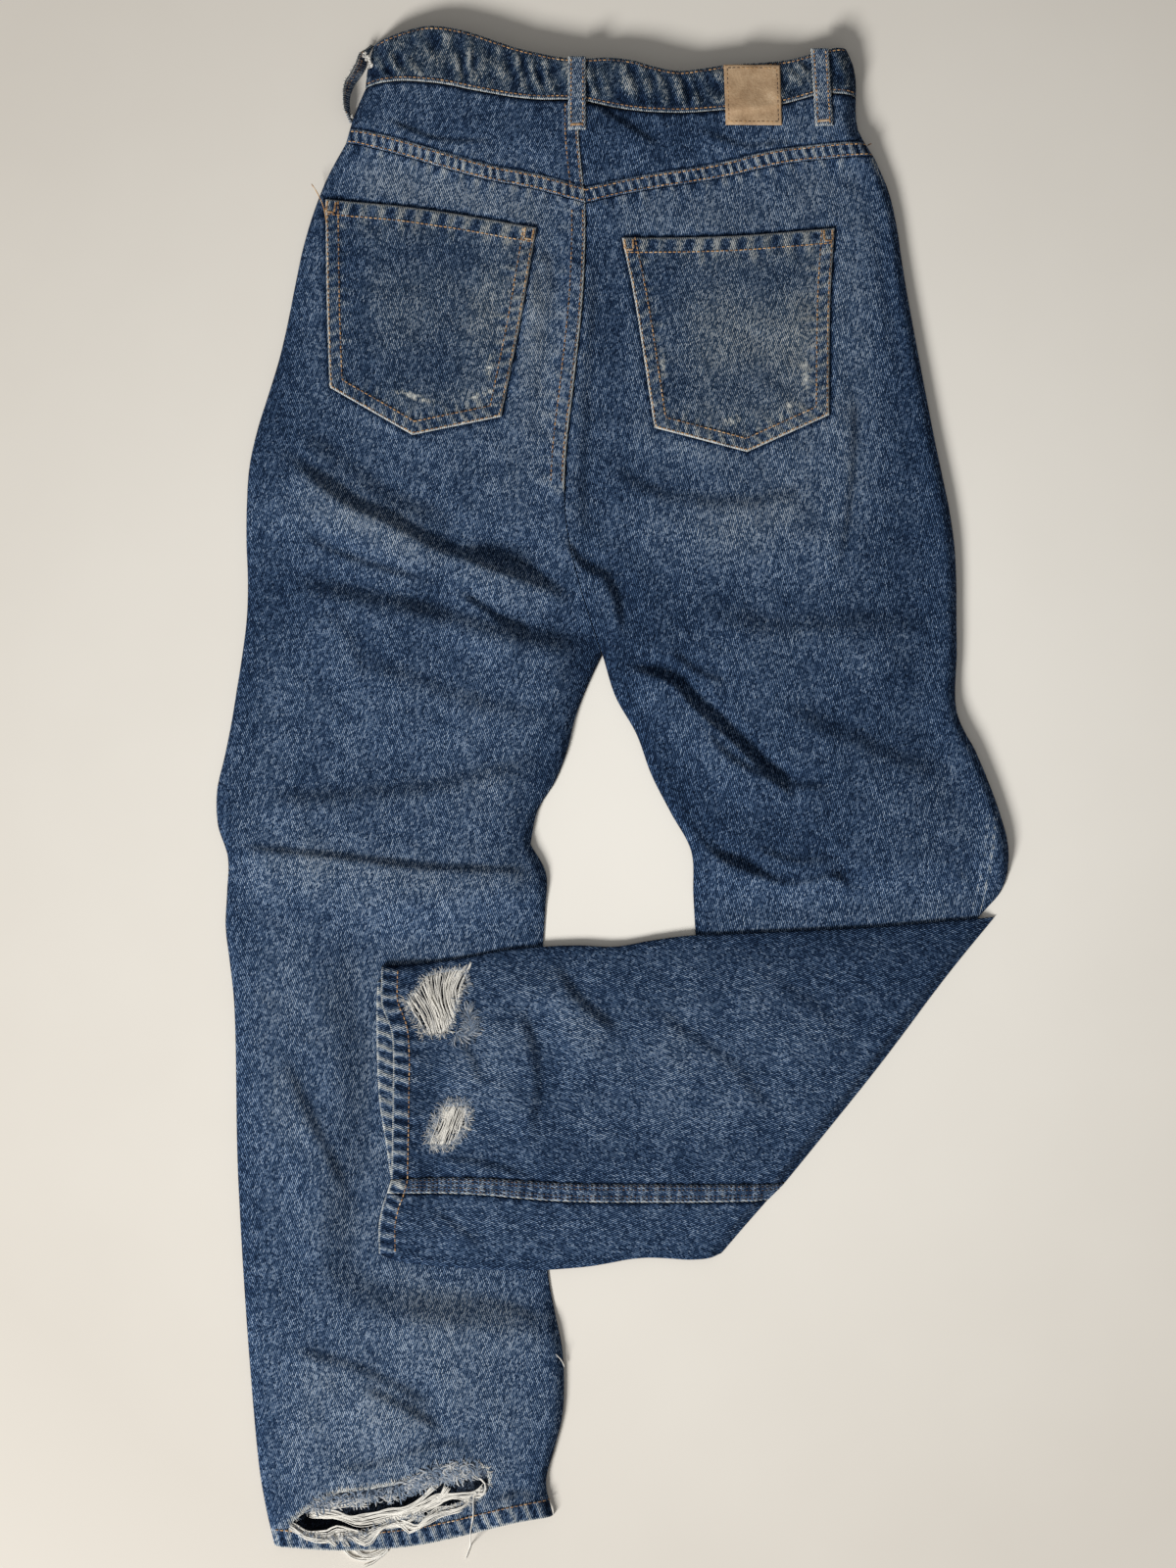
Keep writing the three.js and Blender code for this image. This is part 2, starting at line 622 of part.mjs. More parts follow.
const UPPER_RIP = [
  [-145, -152], [-130, -174], [-117, -173], [-111, -149], [-103, -139], [-106, -129], [-118, -130],
  [-132, -133],
];
const LOWER_RIP = [[-119, -226], [-125, -240], [-130, -252], [-116, -252], [-105, -238], [-105, -225]];

const foldedFrontNet = rowsOver(foldedFront, { ...foldedGrid, border: CREASE_ROLL, gaps: [0, 0, 0, HALF_GAP] });

function hemBottom(x, y) {
  const onHem = 1 - smooth(x, -146, -138);
  const offEdge = smooth(nearestOf(foldSides, x, y), 2, EDGE_BORDER);
  return foldedBottom(x, y) - (HEM_THICKNESS - CLOTH) * onHem * offEdge;
}

const foldedFrontPanel = rip(rip(wall(foldedFrontNet, foldedTop, hemBottom), UPPER_RIP), LOWER_RIP);

const inseamBand = patch({
  top: inseamTop,
  bottom: inseamBottom,
  left: curve([-157, -277], [-160, -287]),
  right: curve([123, -281], [111, -293]),
});
const inseamNet = rowsOver(inseamBand, {
  columns: FOLDED_COLUMNS, rows: 1, border: CREASE_ROLL, gaps: [0, 0, HALF_GAP, HALF_GAP],
});
const feltTop = (x, y) => foldedTop(x, y) + DOUBLE_CLOTH - CLOTH;
const foldedInseam = wall(inseamNet, feltTop, foldedBottom);

const backStrip = patch({
  top: inseamBottom,
  bottom: foldBottomEdge,
  left: curve([-160, -287], [-165, -301], [-166, -331]),
  right: curve([111, -293], [96, -310], [78, -331]),
});
const backStripNet = rowsOver(backStrip, {
  columns: FOLDED_COLUMNS, rows: 4, border: CREASE_ROLL, rowBorder: EDGE_ROLL, gaps: [0, 0, HALF_GAP, 0],
});
const foldedBackStrip = wall(backStripNet, foldedTop, foldedBottom);

// Far layer of the hem, below and a little beyond the near one.
const farHemStrip = patch({
  top: curve([-167, -130], [-153, -130]),
  bottom: curve([-158, -276], [-149, -276]),
  left: farHem,
  right: curve([-153, -130], [-152, -200], [-149, -276]),
});
const foldedFarHem = wall(
  rowsOver(farHemStrip, { columns: 2, rows: 8, gaps: [0, 0, 9, 0] }),
  () => FOLD_FLOOR + SEAM_GAP + CLOTH,
  () => FOLD_FLOOR,
);

// All the layers hidden inside the folded leg, as one rounded solid.
const wholeFold = patch({
  top: foldTopEdge,
  bottom: foldBottomEdge,
  left: curve([-164, -126], [-158, -200], [-166, -331]),
  right: curve(...[...creaseLine].reverse()),
});
const coreNet = rowsOver(wholeFold, {
  columns: 14, rows: 7, gaps: [20, CORE_CREASE_INSET, CORE_INSET, CORE_INSET],
});
const CORE_LEAST = 1.2;
const coreTop = (x, y) => Math.max(FOLD_FLOOR + CORE_LEAST, foldedSmooth(x, y) - CORE_DROP);
const foldedCore = wall(coreNet, coreTop, () => FOLD_FLOOR);

// ---------------------------------------------------------------- loose yarns in the rips

const YARN_DROP = 0.3;
const YARN_LAYER = 0.8;

// The reach of the white yarns that are left across a rip, a little below the cloth's face.
function yarnField(top, bottom, left, right, columns, rows, face) {
  const cloth = patch({ top: curve(...top), bottom: curve(...bottom), left: curve(...left), right: curve(...right) });
  const upper = (x, y) => face(x, y) - YARN_DROP;
  return wall(rowsOver(cloth, { columns, rows }), upper, (x, y) => upper(x, y) - YARN_LAYER);
}

const upperYarns = yarnField(
  [[-129, -135], [-109, -132]], [[-128, -171], [-119, -170]],
  [[-129, -135], [-141, -151], [-128, -171]], [[-109, -132], [-114, -151], [-119, -170]], 2, 4, foldedTop,
);
const lowerYarns = yarnField(
  [[-117, -228], [-107, -227]], [[-127, -250], [-117, -250]],
  [[-117, -228], [-127, -250]], [[-107, -227], [-117, -250]], 2, 2, foldedTop,
);
const hemYarns = yarnField(
  [[-208, -512], [-150, -496], [-92, -486]], [[-214, -519], [-160, -512], [-94, -497]],
  [[-208, -512], [-214, -519]], [[-92, -486], [-94, -497]], 8, 2, backTop,
);

// Threads that hang over the hem, as the plain shape of their reach.
const hangingThreads = slab([[-196, -542], [-182, -550], [-164, -550], [-156, -541]], 0, CLOTH);

// ---------------------------------------------------------------- the garment

const garment = new THREE.Group();

function add(name, geometry, color, roughness = 0.9, metalness = 0) {
  const material = new THREE.MeshStandardMaterial({ color, roughness, metalness, flatShading: true });
  const mesh = new THREE.Mesh(geometry, material);
  mesh.name = name;
  garment.add(mesh);
}

add('front_left_leg', frontLeftLeg, DENIM_DARK);
add('front_right_leg', frontRightLeg, DENIM_DARK);
add('back_left_leg', backLeftLeg, DENIM);
add('back_right_leg', backRightLeg, DENIM);
add('yoke_left', wall(leftYokeNet, backTop, backBottom), DENIM_DARK);
add('yoke_right', wall(rightYokeNet, backTop, backBottom), DENIM_DARK);
add('waistband_back', waistbandBack, DENIM_DARK);
add('waistband_front', waistbandFront, DENIM_DARK);
add('pocket_left', leftPocket, DENIM);
add('pocket_right', rightPocket, DENIM);
add('belt_loop_centre', centreLoop, DENIM);
add('belt_loop_right_back', rightBackLoop, DENIM);
add('belt_loop_left_back', bowedLoop(), DENIM);
add('belt_loop_front_left', frontLoop(-96, 500), DENIM_DARK);
add('belt_loop_front_right', frontLoop(84, 488), DENIM_DARK);
add('waist_patch', leatherPatch, LEATHER, 0.7);
add('fly_facing', flyFacing, DENIM_DARK);
add('waist_button', waistButton, BRASS, 0.4, 0.9);
add('folded_front_panel', foldedFrontPanel, DENIM);
add('folded_inseam', foldedInseam, DENIM);
add('folded_back_strip', foldedBackStrip, DENIM);
add('folded_far_hem', foldedFarHem, DENIM_DARK);
add('folded_hidden_layers', foldedCore, DENIM_DARK);
add('rip_yarns_upper', upperYarns, YARN);
add('rip_yarns_lower', lowerYarns, YARN);
add('rip_yarns_hem', hemYarns, YARN);
add('hem_threads', hangingThreads, YARN);

garment.position.set(-LAY_CENTRE.x, -LAY_CENTRE.y, 0);

export default garment;
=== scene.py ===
# %% [markdown]
# # Ripped jeans laid out flat, one leg folded over
# A pair of worn denim jeans lies face down on a table. The lower right leg is folded over the
# left one, so its front, its inseam and two tears show. The CAD model holds the cut of every
# panel. Here each panel becomes a thin shell of cloth on that cut, with its folds, its sewn
# bands, its stitches and its torn yarns. The first cell loads the CAD model as a fixed frame.

import math

import bpy
import numpy as np
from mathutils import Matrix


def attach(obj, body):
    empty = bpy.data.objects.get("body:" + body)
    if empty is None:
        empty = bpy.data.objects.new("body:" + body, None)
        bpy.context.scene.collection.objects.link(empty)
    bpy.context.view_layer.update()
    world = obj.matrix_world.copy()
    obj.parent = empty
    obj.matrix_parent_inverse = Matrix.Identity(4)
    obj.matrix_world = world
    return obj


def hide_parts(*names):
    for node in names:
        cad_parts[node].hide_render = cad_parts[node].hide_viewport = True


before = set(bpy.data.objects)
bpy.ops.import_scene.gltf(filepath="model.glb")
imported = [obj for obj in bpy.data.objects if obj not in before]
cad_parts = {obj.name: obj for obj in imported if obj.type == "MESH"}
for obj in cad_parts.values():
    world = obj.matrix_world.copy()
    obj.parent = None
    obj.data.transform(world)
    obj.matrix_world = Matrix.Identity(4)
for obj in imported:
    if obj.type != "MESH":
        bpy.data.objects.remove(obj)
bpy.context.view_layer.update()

# %% [markdown]
# ## Camera
# The garment is seen from straight above. A long lens far away keeps its outline true. Its
# focal length follows from the length of table that the view should hold.

# %% Camera
VIEW_CENTRE = (-0.0172, 0.0079)
VIEW_HEIGHT = 1.12
CAMERA_ABOVE = 2.4
SENSOR = 36.0

camera_data = bpy.data.cameras.new("camera")
camera_data.sensor_width = SENSOR
camera_data.lens = SENSOR * CAMERA_ABOVE / VIEW_HEIGHT
camera = bpy.data.objects.new("camera", camera_data)
camera.location = (*VIEW_CENTRE, CAMERA_ABOVE)
bpy.context.scene.collection.objects.link(camera)
bpy.context.scene.camera = camera
bpy.context.scene.view_settings.view_transform = "Standard"
print("lens in millimetres:", round(camera_data.lens, 1))

# %% [markdown]
# ## Lines on the cloth
# A tailor works with lines: cut edges, seams, rows of stitches. Blender could hold them as
# curve objects, but plain arrays of points are easier to measure along. All lines below are
# in millimetres. `places` moves points from the drawing of the lay to the frame's origin.

# %% Lines in millimetres
MM = 0.001
TAU = 2 * math.pi
LAY_SHIFT = np.array([0.0, 4.0])


def places(*points):
    return np.array(points, float) + LAY_SHIFT


def arc(line):
    steps = np.hypot(*np.diff(line, axis=0).T)
    return np.concatenate([[0.0], np.cumsum(steps)])


def at_length(line, lengths):
    along_line = arc(line)
    return np.stack([np.interp(lengths, along_line, line[:, k]) for k in range(line.shape[1])], -1)


def evenly(line, count):
    """The line as `count` points at equal distances along it."""
    return at_length(line, np.linspace(0, arc(line)[-1], count))


def coarse(line, step=9.0, least=2):
    """The line in equal steps of about `step`."""
    return evenly(line, max(least, math.ceil(arc(line)[-1] / step)) + 1)


def nearest(line, point):
    """The number of the line's point that is nearest to a place."""
    return int(np.argmin(np.hypot(*(line - point).T)))


def turning(line):
    """How far the line turns at each of its inner points, in radians."""
    legs = np.diff(line, axis=0)
    return np.abs(np.diff(np.unwrap(np.arctan2(legs[:, 1], legs[:, 0]))))


def leftward(legs):
    """Unit steps to the left of each leg of a line."""
    return np.stack([-legs[:, 1], legs[:, 0]], -1) / np.hypot(*legs.T)[:, None]


def through(points, step):
    """A smooth line through points, by cubic pieces."""
    if len(points) < 3:
        return coarse(points, step, 1)
    knots = np.concatenate([[0.0], np.cumsum(np.sqrt(np.hypot(*np.diff(points, axis=0).T)))])
    slopes = np.gradient(points, knots, axis=0)
    made = []
    for i in range(len(points) - 1):
        span = knots[i + 1] - knots[i]
        count = max(1, math.ceil(span**2 / step))
        t = (np.arange(count) / count)[:, None]
        made.append(
            points[i] * (2 * t**3 - 3 * t**2 + 1)
            + slopes[i] * span * (t**3 - 2 * t**2 + t)
            + points[i + 1] * (3 * t**2 - 2 * t**3)
            + slopes[i + 1] * span * (t**3 - t**2)
        )
    return np.concatenate([*made, points[-1:]])


def smooth_line(points, step=3.0, sharp=32):
    """A smooth line through points that keeps its sharp corners."""
    points = np.asarray(points, float)
    corners = np.flatnonzero(np.degrees(turning(points)) > sharp) + 1
    cuts = [0, *corners, len(points) - 1]
    parts = [through(points[a : b + 1], step) for a, b in zip(cuts, cuts[1:])]
    return np.concatenate([parts[0], *[part[1:] for part in parts[1:]]])


print("a test line is", round(arc(smooth_line([(0, 0), (50, 0), (50, 50)]))[-1], 1), "mm long")

# %% Distance from a line


def smooth(value, start, end):
    t = np.clip((value - start) / (end - start), 0, 1)
    return t * t * (3 - 2 * t)


def bell(gap, width):
    """1 where the gap is 0, falling off on both sides."""
    return np.exp(-((gap / width) ** 2))


def round_over(gap, radius):
    """0 on an edge and 1 from one radius inside it, like a quarter of a circle."""
    return np.sqrt(np.clip(1 - (1 - np.clip(gap / radius, 0, 1)) ** 2, 0, 1))


def along(line, x, y, reach=120.0):
    """Distance from a line, positive on its left, and the length along it where it is nearest."""
    x, y = np.broadcast_arrays(np.asarray(x, float), np.asarray(y, float))
    gap_all = np.full(x.shape, float(reach))
    place_all = np.zeros(x.shape)
    low = line.min(0) - reach
    high = line.max(0) + reach
    chosen = (x > low[0]) & (x < high[0]) & (y > low[1]) & (y < high[1])
    x = x[chosen]
    y = y[chosen]
    best = np.full(x.shape, float(reach))
    place = np.zeros(x.shape)
    side = np.ones(x.shape)
    for (ax, ay), (bx, by), start in zip(line, line[1:], arc(line)):
        dx = bx - ax
        dy = by - ay
        size = math.hypot(dx, dy)
        if size < 1e-6:
            continue
        share = np.clip(((x - ax) * dx + (y - ay) * dy) / size**2, 0, 1)
        gap = np.hypot(x - ax - share * dx, y - ay - share * dy)
        near = gap < best
        best[near] = gap[near]
        place[near] = start + (share * size)[near]
        side[near] = np.where((x - ax) * dy > (y - ay) * dx, -1.0, 1.0)[near]
    gap_all[chosen] = best * side
    place_all[chosen] = place
    return gap_all, place_all


def distance(lines, x, y, reach=120.0):
    return np.min([np.abs(along(line, x, y, reach)[0]) for line in lines], axis=0)


def closed(ring):
    return np.concatenate([ring, ring[:1]])


def inside(ring, x, y):
    """True where points lie inside a closed outline."""
    result = np.zeros(np.shape(x), bool)
    for (ax, ay), (bx, by) in zip(ring, np.roll(ring, -1, axis=0)):
        crosses = ((ay > y) != (by > y)) & (x < (bx - ax) * (y - ay) / (by - ay + 1e-12) + ax)
        result ^= crosses
    return result


def offset(line, by):
    """The line moved sideways, to its left for a positive distance."""
    normals = leftward(np.diff(line, axis=0))
    before = np.concatenate([normals[:1], normals])
    after = np.concatenate([normals, normals[-1:]])
    middle = before + after
    middle /= np.maximum((middle * before).sum(1), 0.3)[:, None]
    moved = line + middle * by
    gap, _ = along(line, moved[:, 0], moved[:, 1], abs(by) + 5)
    return moved[np.abs(gap) > abs(by) * 0.93]


def trimmed(line, start, end=None):
    """The line without its first and last stretch."""
    end = start if end is None else end
    whole = arc(line)
    last = whole[-1] - end
    stops = np.concatenate([[start], whole[(whole > start) & (whole < last)], [last]])
    return at_length(line, stops)


def value_at(surface, x, y):
    """One rounded value of a height or wear function, for the printed notes."""
    return round(float(surface(np.array([x]), np.array([y]))[0]), 2)


test_line = np.array([(0.0, 0.0), (50.0, 0.0)])
print("a point 10 mm beside a line measures", value_at(lambda x, y: along(test_line, x, y)[0], 20.0, 10.0))


# %% Seeded unevenness


LUMPS = 61


def ruffle(x, y, size, seed):
    """Smooth random heights from about -1 to 1, in lumps about `size` millimetres wide."""
    angles = np.random.default_rng(seed).uniform(0, TAU, (LUMPS, LUMPS))
    gx = np.asarray(x) / size
    gy = np.asarray(y) / size
    ix = np.floor(gx).astype(int)
    iy = np.floor(gy).astype(int)
    fx = gx - ix
    fy = gy - iy

    def corner(cx, cy):
        angle = angles[(ix + cx) % LUMPS, (iy + cy) % LUMPS]
        return np.cos(angle) * (fx - cx) + np.sin(angle) * (fy - cy)

    sx = fx * fx * (3 - 2 * fx)
    sy = fy * fy * (3 - 2 * fy)
    low = corner(0, 0) * (1 - sx) + corner(1, 0) * sx
    high = corner(0, 1) * (1 - sx) + corner(1, 1) * sx
    return 1.6 * (low * (1 - sy) + high * sy)


test_heights = ruffle(*np.meshgrid(np.arange(300.0), np.arange(300.0)), 20, 1)
print("unevenness runs from", round(test_heights.min(), 2), "to", round(test_heights.max(), 2))

# %% [markdown]
# ## The cut of each panel
# The cut edges come from the CAD model. Each CAD panel is a closed wall, so its faces that
# look up form one open patch. The edges that belong to only one of those faces are the cut
# edge, and further closed chains are the tears. Reading them keeps both models the same size.

# %% Read the cut edges from the CAD panels


def cut_edges(node):
    """Closed outlines of the panel's upper face in millimetres, the longest first."""
    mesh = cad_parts[node].data
    spots = np.array([tuple(v.co) for v in mesh.vertices]) * 1000
    faces = np.array([tuple(p.vertices) for p in mesh.polygons])
    _, first, same = np.unique(np.round(spots, 2), axis=0, return_index=True, return_inverse=True)
    spots = spots[first]
    faces = same.reshape(-1)[faces]
    a, b, c = (spots[faces[:, k]] for k in range(3))
    normals = np.cross(b - a, c - a)
    normals /= np.linalg.norm(normals, axis=1)[:, None] + 1e-12
    faces = faces[normals[:, 2] > 0.25]
    edges = np.concatenate([faces[:, [0, 1]], faces[:, [1, 2]], faces[:, [2, 0]]])
    known = {(p, q) for p, q in edges}
    follows = {p: q for p, q in edges if (q, p) not in known}
    rings = []
    while follows:
        start, here = follows.popitem()
        chain = [start]
        while here != start and here in follows:
            chain.append(here)
            here = follows.pop(here)
        rings.append(spots[chain][:, :2])
    return sorted(rings, key=lambda ring: -arc(ring)[-1])


def area_of(ring):
    x, y = ring.T
    return 0.5 * abs(np.dot(x, np.roll(y, -1)) - np.dot(y, np.roll(x, -1)))


test_edge = cut_edges("waist_patch")[0]
print("the patch has", len(test_edge), "points on its cut edge, round", round(area_of(test_edge)), "mm2")

# %% Split each cut edge at its corners
# Corners in the order top left, top right, bottom right, bottom left.
CORNERS = {
    "back_left_leg": [(-190, 461), (-19, 417), (-42, -518), (-241, -539)],
    "back_right_leg": [(-19, 417), (187, 451), (267, -85), (70, -322)],
    "front_left_leg": [(-164, 500), (-24, 489), (-54, -518), (-229, -539)],
    "front_right_leg": [(-24, 489), (163, 493), (225, -100), (80, -310)],
    "yoke_left": [(-176, 500), (-24, 489), (-19, 417), (-190, 461)],
    "yoke_right": [(-24, 489), (174, 493), (187, 451), (-19, 417)],
    "waistband_back": [(-170, 531), (167, 528), (174, 493), (-176, 500)],
    "waistband_front": [(-160, 530), (157, 525), (164, 497), (-166, 504)],
    "pocket_left": [(-204, 420), (-54, 399), (-79, 265), (-201, 286)],
    "pocket_right": [(7, 392), (158, 399), (154, 266), (30, 257)],
    "belt_loop_centre": [(-31, 520), (-19, 520), (-19, 468), (-31, 468)],
    "belt_loop_right_back": [(141, 526), (153, 526), (157, 471), (144, 471)],
    "belt_loop_front_left": [(-96, 526), (-83, 526), (-83, 500), (-96, 500)],
    "belt_loop_front_right": [(84, 514), (97, 514), (97, 488), (84, 488)],
    "waist_patch": [(79, 514), (119, 514), (120, 471), (80, 471)],
    "fly_facing": [(-30, 476), (6, 476), (6, 366), (-30, 336)],
    "folded_front_panel": [(-164, -126), (273, -91), (123, -281), (-157, -277)],
    "folded_inseam": [(-157, -277), (123, -281), (111, -293), (-160, -287)],
    "folded_back_strip": [(-160, -287), (111, -293), (78, -331), (-166, -331)],
    "folded_far_hem": [(-167, -130), (-153, -130), (-149, -276), (-158, -276)],
    "folded_hidden_layers": [(-144, -135), (250, -103), (86, -318), (-144, -327)],
}


def split_sides(ring, corners):
    """The four sides of a cut edge: top and bottom from left to right, left and right from the top."""
    top_left, top_right, bottom_right, bottom_left = (nearest(ring, spot) for spot in places(*corners))

    def stretch(start, end):
        count = (end - start) % len(ring)
        return ring[(start + np.arange(count + 1)) % len(ring)]

    return {
        "left": stretch(top_left, bottom_left),
        "bottom": stretch(bottom_left, bottom_right),
        "right": stretch(bottom_right, top_right)[::-1],
        "top": stretch(top_right, top_left)[::-1],
    }


cut = {}
tears = {}
for node, corners in CORNERS.items():
    outlines = cut_edges(node)
    tears[node] = outlines[1:]
    sides = split_sides(outlines[0], corners)
    cut[node] = {side: smooth_line(line) for side, line in sides.items()}

# %% [markdown]
# ## How high the cloth lies
# A laid garment is not flat: two layers trap air in the middle of each leg, the side edges
# roll down to the table, and soft folds run from the hips, the crotch and the knees. A cloth
# simulation would make folds, but not these ones. So each fold is given as a ridge
# with one gentle and one steep side, on top of the height that the CAD panels have.

# %% Base height of the laid back
CLOTH = 1.1
TABLE_GAP = 0.05
EDGE_GAP = 0.15
EDGE_ROLL = 7.0
PRESSED = 2.6
PRESS_REACH = (14, 46)
crotch = places((-7, 96))[0]


def below(line, point):
    return line[nearest(line, point) :]


side_edges = [
    coarse(line)
    for line in (
        cut["waistband_back"]["left"],
        cut["yoke_left"]["left"],
        cut["back_left_leg"]["left"],
        below(cut["back_left_leg"]["right"], crotch),
        below(cut["back_right_leg"]["left"], crotch),
        cut["back_right_leg"]["right"],
        cut["yoke_right"]["right"],
        cut["waistband_back"]["right"],
    )
]
right_edges = side_edges[5:]
fold_sides = [coarse(cut["folded_front_panel"]["top"]), coarse(cut["folded_back_strip"]["bottom"])]
fold_creases = [
    coarse(cut[node]["right"]) for node in ("folded_front_panel", "folded_inseam", "folded_back_strip")
]
fold_ring = np.concatenate(
    [
        fold_sides[0],
        *fold_creases,
        fold_sides[1][::-1],
        coarse(cut["folded_back_strip"]["left"])[::-1],
        coarse(cut["folded_front_panel"]["left"])[::-1],
    ]
)


def unpressed(x, y):
    """0 under and beside the folded leg, which presses the cloth flat, and 1 away from it."""
    gap = np.abs(along(closed(fold_ring), x, y, 60)[0])
    return np.where(inside(fold_ring, x, y), 0, smooth(gap, *PRESS_REACH))


print("side edges:", round(sum(arc(line)[-1] for line in side_edges)), "mm")

# %% Folds, listed one by one
FOLD_GAIN = 1.6


def fold(height, steep, gentle, *points, dip=0.35):
    """A ridge beside a dark line. Its steep side falls to the left of the line's direction."""
    line = smooth_line(places(*points), 6)
    whole = arc(line)[-1]

    def shape(x, y):
        gap, place = along(line, x, y, 3 * gentle + 2 * steep)
        from_crest = gap + 1.2 * steep
        width = np.where(from_crest < 0, gentle, steep)
        crest = 0.78 * np.exp(-0.5 * (from_crest / width) ** 2)
        crest += 0.24 * bell(gap + 0.5 * steep, 0.5 * steep)
        trough = dip * np.exp(-0.5 * ((gap - steep) / steep) ** 2)
        trough += 0.2 * bell(gap - 0.3 * steep, 0.4 * steep)
        fade = smooth(place, 0, 0.22 * whole) * (1 - smooth(place, 0.78 * whole, whole))
        return FOLD_GAIN * height * fade * (crest - trough)

    return shape


lay_folds = [
    # from the left hip down to the crotch
    fold(4.6, 10, 28, (-240, 248), (-205, 219), (-185, 205), (-160, 194), (-122, 174), (-65, 155),
         (-30, 138)),
    fold(3.0, 16, 26, (-225, 262), (-180, 226), (-145, 205), (-105, 190)),
    fold(3.4, 12, 22, (-110, 176), (-75, 158), (-45, 146), (-24, 130)),
    fold(5.6, 17, 30, (-240, 150), (-180, 140), (-130, 128), (-80, 114), (-30, 106), (0, 104)),
    fold(1.6, 4, 11, (-228, 188), (-205, 173), (-180, 163), (-150, 154), (-128, 150)),
    fold(2.2, 5, 13, (-112, 142), (-92, 130), (-75, 118), (-56, 108)),
    fold(1.4, 8, 12, (-204, 132), (-188, 112), (-178, 90), (-172, 70)),
    fold(2.6, 16, 28, (-190, 96), (-140, 80), (-90, 62), (-40, 52)),
    fold(3.4, 15, 26, (-262, -4), (-180, -2), (-120, 6), (-85, 15), (-40, 24)),
    # across the left knee
    fold(2.7, 6, 20, (-290, -38), (-200, -46), (-130, -54), (-40, -57)),
    fold(1.4, 16, 22, (-290, -24), (-200, -32), (-130, -38), (-40, -40)),
    # down from the crotch on the right leg
    fold(2.8, 6, 18, (-36, 186), (-22, 162), (-4, 152), (4, 134), (8, 104)),
    fold(4.2, 4.5, 17, (0, 90), (26, 84), (44, 77), (60, 60), (89, 34), (112, 12), (136, -10)),
    fold(1.5, 4, 9, (40, 100), (62, 84), (84, 76)),
    fold(1.8, 5, 12, (64, 46), (84, 24), (120, 6), (160, 2)),
    fold(3.4, 5, 17, (30, 8), (48, -18), (71, -43), (93, -54), (125, -66), (159, -60), (190, -82)),
    fold(1.5, 4, 10, (100, -40), (130, -50), (164, -48)),
    fold(2.4, 6, 14, (205, -88), (228, -72), (248, -59), (268, -84)),
    fold(2.0, 8, 20, (60, -70), (92, -88), (130, -92)),
    fold(2.6, 18, 26, (60, 130), (120, 118), (180, 122), (236, 116)),
    fold(2.4, 16, 24, (120, 62), (160, 44), (205, 24), (250, 10)),
    # below the pockets and beside the hips
    fold(2.2, 12, 22, (-10, 236), (30, 214), (92, 206), (150, 220)),
    fold(1.6, 4, 9, (172, 290), (172, 240), (169, 205), (164, 170), (156, 146)),
    fold(1.6, 7, 16, (-49, 388), (-43, 366), (-46, 330)),
    fold(2.0, 9, 13, (-12, 396), (-14, 340), (-18, 270), (-20, 205), (-14, 150)),
    fold(1.2, 8, 12, (-60, 396), (-50, 340), (-52, 290), (-60, 240)),
    fold(1.4, 9, 14, (200, 440), (190, 400), (196, 340), (208, 280)),
    # from the folded leg down to the left hem
    fold(2.6, 9, 24, (-236, -180), (-218, -222), (-195, -270), (-168, -322)),
    fold(2.6, 8, 20, (-150, -338), (-120, -350), (-60, -371), (-30, -378)),
    fold(1.8, 8, 20, (-240, -395), (-180, -410), (-121, -440)),
    fold(2.0, 7, 18, (-182, -422), (-150, -436), (-115, -458)),
    fold(1.8, 6, 14, (-205, -484), (-166, -478), (-130, -466), (-95, -462)),
    fold(2.0, 4, 9, (-96, -514), (-80, -504), (-58, -500), (-40, -505)),
    # on the yokes
    fold(1.6, 5, 12, (-22, 492), (8, 474), (36, 456)),
    fold(1.4, 5, 12, (-165, 478), (-120, 462), (-80, 462)),
    fold(1.3, 6, 12, (60, 470), (95, 458), (130, 462)),
    fold(1.6, 5, 12, (176, 474), (168, 462), (176, 448)),
]


# How far the trapped air lifts the cloth, and the distances over which it does.
PUFF = 4.8
PUFF_RIGHT = 3.4
CROWN = 4.0
CROWN_REACH = 38
RELIEF_REACH = 26
WAIST_LIFT = 4.5
WAIST_RISES = (434, 479)


def lay_relief(x, y):
    """Folds and small unevenness of the laid back, in millimetres."""
    height = sum(shape(x, y) for shape in lay_folds)
    height += 1.1 * ruffle(x, y * 0.8, 46, 3)
    height += 0.5 * ruffle(x + 0.3 * y, y, 19, 4)
    height += 0.2 * ruffle(x, y, 8, 5)
    return height


def lay_top(x, y):
    """Upper face of the back pieces, where they are one layer thick."""
    edge = distance(side_edges, x, y)
    rolled = CLOTH + EDGE_GAP + (PRESSED - CLOTH - EDGE_GAP) * smooth(edge, 0, EDGE_ROLL)
    puffed = PUFF + PUFF_RIGHT * bell(distance(right_edges, x, y, 60), 16)
    puffed = puffed * round_over(edge, EDGE_ROLL)
    crown = CROWN * (1 - np.exp(-np.maximum(0, edge - 4) / CROWN_REACH))
    relief = lay_relief(x, y) * smooth(edge, 0, RELIEF_REACH)
    waist = WAIST_LIFT * smooth(y, *WAIST_RISES) * smooth(edge, 0, 12)
    return rolled + np.maximum(0, puffed + crown + relief + waist) * unpressed(x, y)


print("the back rises to", value_at(lay_top, -150.0, 300.0), "mm at the seat")

